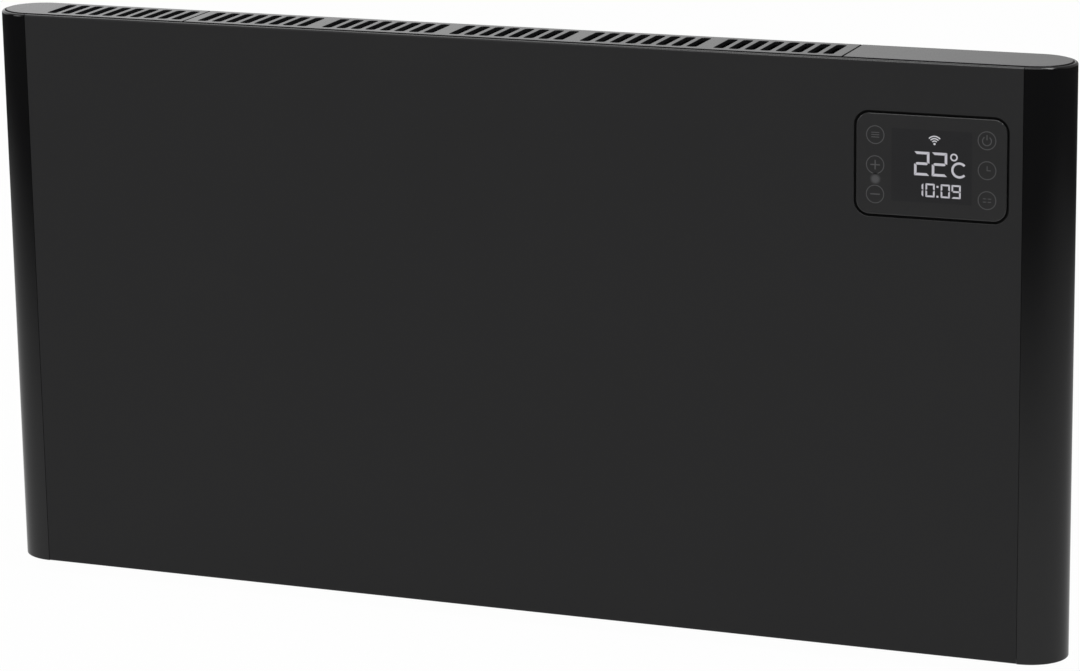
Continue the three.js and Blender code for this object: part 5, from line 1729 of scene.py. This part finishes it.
    def readout(self) -> None:
        """Temperature, clock and wireless sign of the screen."""
        shape, sign = Shape(), Shape()
        self.figures(shape, TEMPERATURE)
        self.bow(shape, DEGREE)
        self.bow(shape, UNIT)
        self.figures(shape, CLOCK)
        side, radius = self.dot
        for x, z in COLON:
            self.stroke(shape, rounded(x, z, side, side, radius, 3))
        grey = (0.3, 0.3, 0.32)
        finish = Glow("lit_segments", "screen", grey, 0.4, light=(0.275, 0.263, 0.29))
        publish(shape.object("screen_figures"), finish)
        self.stroke(sign, circle(*SIGN_MIDDLE, SIGN_WIDTH, 20))
        for radius in SIGN_RADII:
            self.bow(sign, Bow(SIGN_MIDDLE, (radius, radius), SIGN_ANGLES, SIGN_WIDTH, 20))
        finish = Glow("lit_sign", "screen", grey, 0.4, light=(0.34, 0.34, 0.35))
        publish(sign.object("wireless_sign"), finish)

    def build(self) -> None:
        """Makes the glass and all that shows on it, and dresses what lies behind."""
        self.face()
        self.keys()
        self.lamp()
        self.readout()
        # The housing shows only through the groove round the glass; its darker finish paints the
        # shade in that groove.
        behind = (
            ("display_housing", "display_housing_shell", HOUSING_PAINTED_SHADE),
            ("display_screen", "display_screen_module", SCREEN),
        )
        for node, name, finish in behind:
            publish(eased_copy(node, name), finish, node, edge=self.edge)


# ------------------------------------------------------------------------------
# Inside, underside and bracket
# ------------------------------------------------------------------------------


@dataclass
class Fittings:
    """Pieces whose CAD forms are kept with their edges eased, and the turned gland.

    Attributes:
        FORMS: The pieces whose forms are kept, with their finishes.
        edge: Width taken off their sharp edges.
        gland: Middle of the gland where its collar meets the floor.
        collar: Radius and height of the collar.
        bend: Rounding of the collar's lower edge.
        waist: Lower and upper edge of the groove round the collar, below the floor, and its depth.
        neck: Radius and height of the gland's neck.
        thread: Pitch and depth of the neck's thread.
        bore: Radius of the hole for the mains lead.
        mouth: Rounding of the hole's mouth.
        groove: Inner and outer edge of the groove round the mouth, from the bore, and its depth.
        slope: Width of the grooves' slanted sides.
    """

    edge: float = 0.2
    gland: Triple = (311.0, -48.75, -217.3)
    collar: Pair = (9.0, 4.5)
    bend: float = 1.6
    waist: Triple = (0.9, 0.1, 0.25)
    neck: Pair = (6.0, 9.3)
    thread: Pair = (0.8, 0.35)
    bore: float = 4.0
    mouth: float = 0.9
    groove: Triple = (1.7, 2.5, 0.5)
    slope: float = 0.2

    FORMS: ClassVar[dict[str, Finish]] = {
        "bulkhead": ZINC, "power_tray": GREY_PLASTIC, "power_board": BOARD, "relay": BLUE_CASE,
        "transformer": AMBER_CASE, "filter_capacitor": AMBER_CASE, "terminal_block": CERAMIC,
        "signal_ribbon": GREY_PLASTIC, "display_board": BOARD, "wireless_module": ZINC,
        "element_fins": ALUMINIUM, "heating_rod": ZINC, "heat_baffle": ALUMINIUM,
        "thermal_cutout": CERAMIC, "thermal_fuse": ZINC,
        "element_lead_left": SILICONE, "element_lead_right": SILICONE,
        "rod_insulator_left": CERAMIC, "rod_insulator_right": CERAMIC,
        "element_bush_left": SILICONE, "element_bush_right": SILICONE,
        "element_bracket_left": ZINC, "element_bracket_right": ZINC,
        "rocker_housing": SATIN_BLACK, "gland_nut": SATIN_BLACK,
        "sensor_clip": GREY_PLASTIC, "room_sensor": ZINC,
        "bracket_crossbar": BLACK_STEEL,
        "bracket_upright_left": BLACK_STEEL, "bracket_upright_right": BLACK_STEEL,
    }

    def mains_gland(self) -> None:
        """Turned gland with a rounded collar, and a rounded lip round its bore."""
        (radius, height), (neck, rise), (pitch, cut) = self.collar, self.neck, self.thread
        bore, bend, mouth, slope = self.bore, self.bend, self.mouth, self.slope
        (near, far, deep), (under, over, shallow) = self.groove, self.waist
        profile = [
            (bore, rise),
            (bore, -height + mouth + 0.5),
            *arc((bore + mouth, -height + mouth), (mouth, mouth), 180, 270, 6),
            (bore + near, -height),
            (bore + near + slope, -height + deep),
            (bore + far - slope, -height + deep),
            (bore + far, -height),
            *arc((radius - bend, -height + bend), (bend, bend), 270, 360, 8),
            (radius, -under),
            (radius - shallow, -under + slope),
            (radius - shallow, -over - slope),
            (radius, -over),
            (radius - over, 0.0),
            (neck, 0.0),
        ]
        level = pitch
        while level < rise - pitch:
            profile += [(neck, level), (neck - cut, level + pitch / 2)]
            level += pitch
        profile.append((neck - cut, rise))
        piece = Shape().turned(profile, self.gland, (0, 0, 1), 72).object("mains_gland_turned")
        publish(piece, SATIN_BLACK, "mains_gland", sharp=50.0)

    def build(self) -> None:
        """Eases and dresses them all, and turns the gland."""
        for node, finish in self.FORMS.items():
            publish(eased_copy(node, f"{node}_part"), finish, node, edge=self.edge)
        self.mains_gland()


@dataclass
class Moving:
    """Pieces that move: the rocker key, and the two sprung catches with their springs.

    Attributes:
        coil: Radius of a spring's coils, to the middle of its wire.
        wire: Radius of the wire.
        turns: Number of coils, the closed one at each end included.
        steps: Steps in each coil.
        sides: Sides of the wire.
        stroke: How far a catch pushes its spring together; not used.
        edge: Width taken off the sharp edges of the key and the catches.
    """

    coil: float = 3.4
    wire: float = 0.5
    turns: int = 8
    steps: int = 28
    sides: int = 12
    stroke: float = 6.0
    edge: float = 0.4

    def spring(self, side: Side) -> None:
        """A compression spring with closed ends, as long as the CAD spring that it stands for.

        Args:
            side: Which catch it belongs to.
        """
        node = f"catch_spring_{side.word}"
        low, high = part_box(node)
        length = high[2] - low[2]
        thick = 2 * self.wire * MM
        recipe = Recipe(f"{side.word}_spring_recipe")
        spiral = recipe.node(
            "GeometryNodeCurveSpiral",
            inputs={
                "Resolution": self.steps,
                "Rotations": recipe.given("Turns", float(self.turns)),
                "Start Radius": recipe.given("Coil radius", self.coil * MM),
                "End Radius": recipe.entry.outputs["Coil radius"],
                "Height": 0.0,
            },
        )
        along = recipe.wire(recipe.node("GeometryNodeSplineParameter"))
        pitch = recipe.given("Wire thickness", thick)
        spare = recipe.given("Open length", length - thick * (self.turns + 1))
        rise = along.ease(1 / self.turns, 1 - 1 / self.turns) * spare
        rise = rise + along * float(self.turns) * Wire(recipe, pitch)
        offset = recipe.node(
            "ShaderNodeCombineXYZ",
            inputs={
                0: (low[0] + high[0]) / 2,
                1: (low[1] + high[1]) / 2,
                2: rise + (low[2] + thick / 2),
            },
        )
        placed = recipe.node(
            "GeometryNodeSetPosition", inputs={0: spiral.outputs[0], "Offset": offset.outputs[0]}
        )
        ring = recipe.node(
            "GeometryNodeCurvePrimitiveCircle",
            {"mode": "RADIUS"},
            {"Resolution": self.sides, "Radius": recipe.given("Wire radius", self.wire * MM)},
        )
        swept = recipe.node(
            "GeometryNodeCurveToMesh",
            inputs={0: placed.outputs[0], 1: ring.outputs[0], "Fill Caps": True},
        )
        recipe.close(swept.outputs[0], SPRING_STEEL.material())
        piece = publish(recipe.bake(f"{side.word}_catch_coil_spring"), SPRING_STEEL, node)
        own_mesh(piece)

    def build(self) -> None:
        """Makes them all."""
        key = eased_copy("rocker_key", "rocker_key_cap")
        publish(key, GLOSS_BLACK, "rocker_key", body="rocker", edge=self.edge)
        for side in Side:
            node = f"catch_{side.word}"
            slider = eased_copy(node, f"{node}_slider")
            publish(slider, GREY_PLASTIC, node, body=f"{side.word}_catch", edge=self.edge)
            self.spring(side)


@dataclass
class Fasteners:
    """Screws through the back panel and rivets of the bracket, copied to their places by recipes.

    Attributes:
        head: Radius and height of a screw's head.
        crown: Rounding of the head's upper edge.
        foot: Slanted width at its lower edge.
        shank: Radius of its shank, and how far it reaches below the head.
        thread: Pitch and depth of its thread.
        bare: Shank without thread, below the head and at least above the end.
        point: Width and length of the cone at its end.
        recess: Length, width and depth of its cross recess.
        rivet_head: Radius and height of a rivet's head.
        rivet_half: Half a rivet's length.
        rivet_shank: Radius of its shank.
        rivet_tail: How much narrower and flatter its formed end is than its head.
        dimple: Radius of the dimple in that end, and the depth of its edge and its middle.
        seed: Seed of the screws' random turns.
    """

    head: Pair = (3.5, 2.0)
    crown: float = 1.3
    foot: float = 0.2
    shank: Pair = (2.0, 8.3)
    thread: Pair = (0.9, 0.35)
    bare: Pair = (0.6, 1.2)
    point: Pair = (0.9, 0.4)
    recess: Triple = (3.7, 0.85, 1.15)
    rivet_head: Pair = (4.0, 1.5)
    rivet_half: float = 3.95
    rivet_shank: float = 2.2
    rivet_tail: Pair = (0.3, 0.2)
    dimple: Triple = (0.9, 0.35, 0.45)
    seed: int = 11

    def screw(self) -> bpy.types.Object:
        """One screw at the origin, its head towards +Z.

        Returns:
            The screw.
        """
        (radius, height), (shank, reach), (pitch, depth) = self.head, self.shank, self.thread
        crown, foot, (above, below), (cone, tip) = self.crown, self.foot, self.bare, self.point
        profile = [(0.0, height), *arc((radius - crown, height - crown), (crown, crown), 90, 0, 6)]
        profile += [(radius, foot), (radius - foot, 0.0), (shank, 0.0)]
        level = -above
        while level - pitch > -reach + below:
            profile += [(shank, level), (shank - depth, level - pitch / 2)]
            level -= pitch
        profile += [(shank, level), (shank - cone, -reach + tip), (0.0, -reach)]
        body = Shape().turned(profile, (0, 0, 0), (0, 0, 1), 28).object("screw")
        length, width, deep = self.recess
        narrower, above, wider = 0.19, 0.2, -0.02
        depths = [(height - deep, narrower), (height + above, wider)]
        cross = []
        for size in ((length, width), (width, length)):
            arm = Shape().prism(rounded(0, 0, *size, 0.2, 2), depths, Plane.TOP)
            cross.append(arm.object("recess"))
        return smoothed(carved(body, cross), edge=0.05)

    def rivet(self) -> bpy.types.Object:
        """One rivet at the origin, its domed head towards +Z.

        Returns:
            The rivet.
        """
        (radius, height), half, shank = self.rivet_head, self.rivet_half, self.rivet_shank
        base, (narrower, flatter) = half - height, self.rivet_tail
        inner, edge, middle = self.dimple
        profile = [
            *arc((0, base), (radius, height), 90, 0, 10),
            (shank, base),
            (shank, -base),
            *arc((0, -base), (radius - narrower, height - flatter), 0, -60, 7),
            (inner, -half + edge),
            (0.0, -half + middle),
        ]
        return smoothed(Shape().turned(profile, (0, 0, 0), (0, 0, 1), 36).object("rivet"))

    def copied(
        self,
        name: str,
        nodes: Sequence[str],
        form: bpy.types.Object,
        turn: Callable[[Recipe], Any],
    ) -> None:
        """Copies a form to the middles of CAD nodes as one piece.

        Args:
            name: The piece's name.
            nodes: The nodes.
            form: The form, which is used up.
            turn: Makes the copies' turn in the recipe.
        """
        places = []
        for node in nodes:
            low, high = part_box(node)
            places.append([(a + b) / 2 for a, b in zip(low, high)])
        mesh = bpy.data.meshes.new(f"{name}_places")
        mesh.from_pydata(places, [], [])
        recipe = Recipe(name)
        tool = recipe.node(
            "GeometryNodeObjectInfo", inputs={"Object": recipe.given("Form", form, "Object")}
        )
        euler = recipe.node("FunctionNodeEulerToRotation", inputs={0: turn(recipe)})
        copies = recipe.node(
            "GeometryNodeInstanceOnPoints",
            inputs={
                "Points": recipe.base,
                "Instance": tool.outputs["Geometry"],
                "Rotation": euler.outputs[0],
                "Scale": recipe.given("Size", (1.0, 1.0, 1.0), "Vector"),
            },
        )
        recipe.close(copies.outputs[0], ZINC.material())
        piece = recipe.bake(name, new_object(f"{name}_places", mesh))
        bpy.data.objects.remove(form)
        publish(piece, ZINC, *nodes)

    def screw_turn(self, recipe: Recipe) -> bpy.types.NodeSocket:
        """Heads towards the wall, each with its recess at a random angle.

        Args:
            recipe: The recipe that copies the screws.

        Returns:
            The copies' turn, as Euler angles.
        """
        chance = recipe.node(
            "FunctionNodeRandomValue",
            {"data_type": "FLOAT"},
            {2: 0.0, 3: 2 * math.pi, "Seed": recipe.given("Seed", self.seed, "Int")},
        )
        angles = {0: -math.pi / 2, 1: chance.outputs[1]}
        return recipe.node("ShaderNodeCombineXYZ", inputs=angles).outputs[0]

    def rivet_turn(self, recipe: Recipe) -> bpy.types.NodeSocket:
        """Domed heads away from the bracket's middle.

        Args:
            recipe: The recipe that copies the rivets.

        Returns:
            The copies' turn, as Euler angles.
        """
        place = recipe.node("GeometryNodeInputPosition")
        split = recipe.node("ShaderNodeSeparateXYZ", inputs={0: place.outputs[0]})
        side = recipe.node("ShaderNodeMath", {"operation": "SIGN"}, {0: split.outputs[0]})
        lean = recipe.wire(side) * (math.pi / 2)
        return recipe.node("ShaderNodeCombineXYZ", inputs={1: lean}).outputs[0]

    def build(self) -> None:
        """Makes them all."""
        screws = sorted(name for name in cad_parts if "_screw_" in name)
        rivets = sorted(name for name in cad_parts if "_rivet_" in name)
        form = self.screw()
        middle = (self.head[1] - self.shank[1]) / 2
        form.data.transform(Matrix.Translation((0, 0, -middle * MM)))
        self.copied("back_screws", screws, form, self.screw_turn)
        self.copied("bracket_rivets", rivets, self.rivet(), self.rivet_turn)


# ------------------------------------------------------------------------------
# Studio
# ------------------------------------------------------------------------------


@dataclass(frozen=True)
class Lamp:
    """A rectangular soft light.

    Attributes:
        name: Its name.
        spot: Its place, in metres.
        aim: What it points at.
        size: Its width and height.
        power: Its power, in watts.
    """

    name: str
    spot: Triple
    aim: Triple
    size: Pair
    power: float


LAMPS = (
    Lamp("top_light", (0.2, -0.9, 2.0), (0, -0.1, 0), (1.6, 0.9), 14.0),
    Lamp("left_light", (-2.4, -1.6, 1.0), (0, 0, 0), (1.0, 1.6), 12.0),
    Lamp("end_light", (1.02, -0.15, 2.0), (0.43, -0.05, 0.2), (0.6, 0.6), 12.0),
    Lamp("right_light", (1.9, -0.95, 2.0), (0.38, -0.08, 0.15), (0.5, 0.5), 9.0),
)


@dataclass
class Studio:
    """Floor, light and camera. Lengths are in metres.

    Attributes:
        floor: Height of the floor.
        half_floor: Half its side.
        grey: Its diffuse colour, which is also what mirrors show of it beside the heater.
        far_grey: What mirrors show of it farther off.
        heater: Half the heater's length and its middle, as y, for that fade.
        beside: How much slower the fade is beside the heater than before it.
        fade: Distances from the heater at which it starts and ends.
        glare: Share of plain white in the floor that the camera sees.
        wall: Brightness of the mirrored wall at the left, and how much less it is at the right.
        ceiling: Brightness of the mirrored ceiling.
        gloom: Brightness of everything else that is mirrored.
        ambient: Brightness of the even light on matt surfaces.
        spot: The camera's place.
        ahead: Its direction.
        roll: Its roll to the right, in degrees.
        lens: Its focal length for a sensor 36 wide.
        shift: Its upward shift.
    """

    floor: float = -0.235
    half_floor: float = 7.0
    grey: float = 0.62
    far_grey: float = 0.04
    heater: Pair = (0.4, -0.05)
    beside: float = 0.75
    fade: Pair = (0.1, 1.7)
    glare: float = 0.982
    wall: Pair = (1.05, 0.75)
    ceiling: float = 0.05
    gloom: float = 0.02
    ambient: float = 0.55
    spot: Triple = (1.0944, -2.8026, 0.7471)
    ahead: Triple = (-0.35393, 0.90528, -0.23496)
    roll: float = 0.903
    lens: float = 132.22
    shift: float = -0.05

    def camera(self) -> None:
        """A camera at the photograph's viewing angle."""
        data = bpy.data.cameras.new("camera")
        data.lens, data.sensor_width, data.shift_y = self.lens, 36.0, self.shift
        data.clip_start, data.clip_end = 0.1, 60.0
        camera = bpy.data.objects.new("camera", data)
        bpy.context.scene.collection.objects.link(camera)
        ahead = Vector(self.ahead).normalized()
        right = ahead.cross(Vector((0, 0, 1))).normalized()
        right = Matrix.Rotation(math.radians(self.roll), 3, ahead) @ right
        up = right.cross(ahead)
        turn = Matrix((right, up, -ahead)).transposed().to_4x4()
        camera.matrix_world = Matrix.Translation(self.spot) @ turn
        bpy.context.scene.camera = camera

    def ground(self) -> None:
        """A white floor that keeps the heater's shadow, and can be looked through from below."""
        half, white, grey = self.half_floor, (1.0, 1.0, 1.0), (self.grey,) * 3
        mesh = bpy.data.meshes.new("floor")
        corners = [(-half, -half), (half, -half), (half, half), (-half, half)]
        mesh.from_pydata([(x, y, self.floor) for x, y in corners], [], [(0, 1, 2, 3)])
        ground = new_object("floor", mesh)
        made = bpy.data.materials.new("white_floor")
        made.use_nodes = True
        paint = Paint(made.node_tree)
        diffuse = paint.node("ShaderNodeBsdfDiffuse", inputs={"Color": grey})
        shining = paint.node("ShaderNodeEmission", inputs={"Color": white, "Strength": 1.0})
        x, y, _ = paint.axes()
        half_length, middle = self.heater
        beside = (abs(x) - half_length).larger(0.0) * self.beside
        before = abs(y - middle)
        near = 1 - (beside * beside + before * before).root().ease(*self.fade)
        shade = paint.blend(near, (self.far_grey,) * 3, grey)
        mirrored = paint.node("ShaderNodeEmission", inputs={"Color": shade, "Strength": 1.0})
        path = paint.node("ShaderNodeLightPath")
        seen = paint.wire(path, "Is Camera Ray").larger(paint.wire(path, "Is Transmission Ray"))
        glossy = path.outputs["Is Glossy Ray"]
        below = paint.node("ShaderNodeNewGeometry").outputs["Backfacing"]
        clear = paint.node("ShaderNodeBsdfTransparent")
        sided = diffuse
        for share, over in ((seen * self.glare, shining), (glossy, mirrored), (below, clear)):
            both = {0: share, 1: sided.outputs[0], 2: over.outputs[0]}
            sided = paint.node("ShaderNodeMixShader", inputs=both)
        paint.node("ShaderNodeOutputMaterial", inputs={"Surface": sided.outputs[0]})
        mesh.materials.append(made)

    def sky(self) -> None:
        """White background, with a soft even light on the heater."""
        world = bpy.data.worlds.new("studio")
        world.use_nodes = True
        bpy.context.scene.world = world
        paint = Paint(world.node_tree)
        toward = paint.node("ShaderNodeTexCoord").outputs["Generated"]
        split = paint.node("ShaderNodeSeparateXYZ", inputs={0: toward})
        right, back, up = (paint.wire(split, axis) for axis in range(3))
        path = paint.node("ShaderNodeLightPath")
        glossy = paint.wire(path, "Is Glossy Ray")
        seen = paint.wire(path, "Is Camera Ray").larger(paint.wire(path, "Is Transmission Ray"))
        # How far a mirrored direction points back, to the right and up decides what it shows.
        left, less = self.wall
        behind = back.ease(-0.25, 0.3) * (left - right.ease(-0.6, 0.1) * less)
        studio = behind + up.ease(0.2, 0.9) * self.ceiling + self.gloom
        strength = seen.larger(glossy * studio).larger((1 - glossy) * self.ambient)
        light = paint.node(
            "ShaderNodeBackground", inputs={"Color": (1.0, 1.0, 1.0), "Strength": strength}
        )
        paint.node("ShaderNodeOutputWorld", inputs={"Surface": light.outputs[0]})

    def light(self, form: Lamp) -> None:
        """Adds a soft light.

        Args:
            form: The light.
        """
        data = bpy.data.lights.new(form.name, "AREA")
        data.shape, data.energy = "RECTANGLE", form.power
        data.size, data.size_y = form.size
        lamp = bpy.data.objects.new(form.name, data)
        bpy.context.scene.collection.objects.link(lamp)
        turn = (Vector(form.aim) - Vector(form.spot)).to_track_quat("-Z", "Y").to_matrix()
        lamp.matrix_world = Matrix.Translation(form.spot) @ turn.to_4x4()

    def build(self) -> None:
        """Sets the whole studio up."""
        bpy.context.scene.view_settings.view_transform = "Standard"
        self.camera()
        self.ground()
        self.sky()
        for form in LAMPS:
            self.light(form)


def main() -> None:
    """Builds the heater and its studio."""
    logging.basicConfig(level=logging.INFO, format="%(message)s")
    for part in (Studio(), Casing(), Display(), Fittings(), Moving(), Fasteners()):
        log.info("building %s", type(part).__name__)
        part.build()


if __name__ == "__main__":
    main()
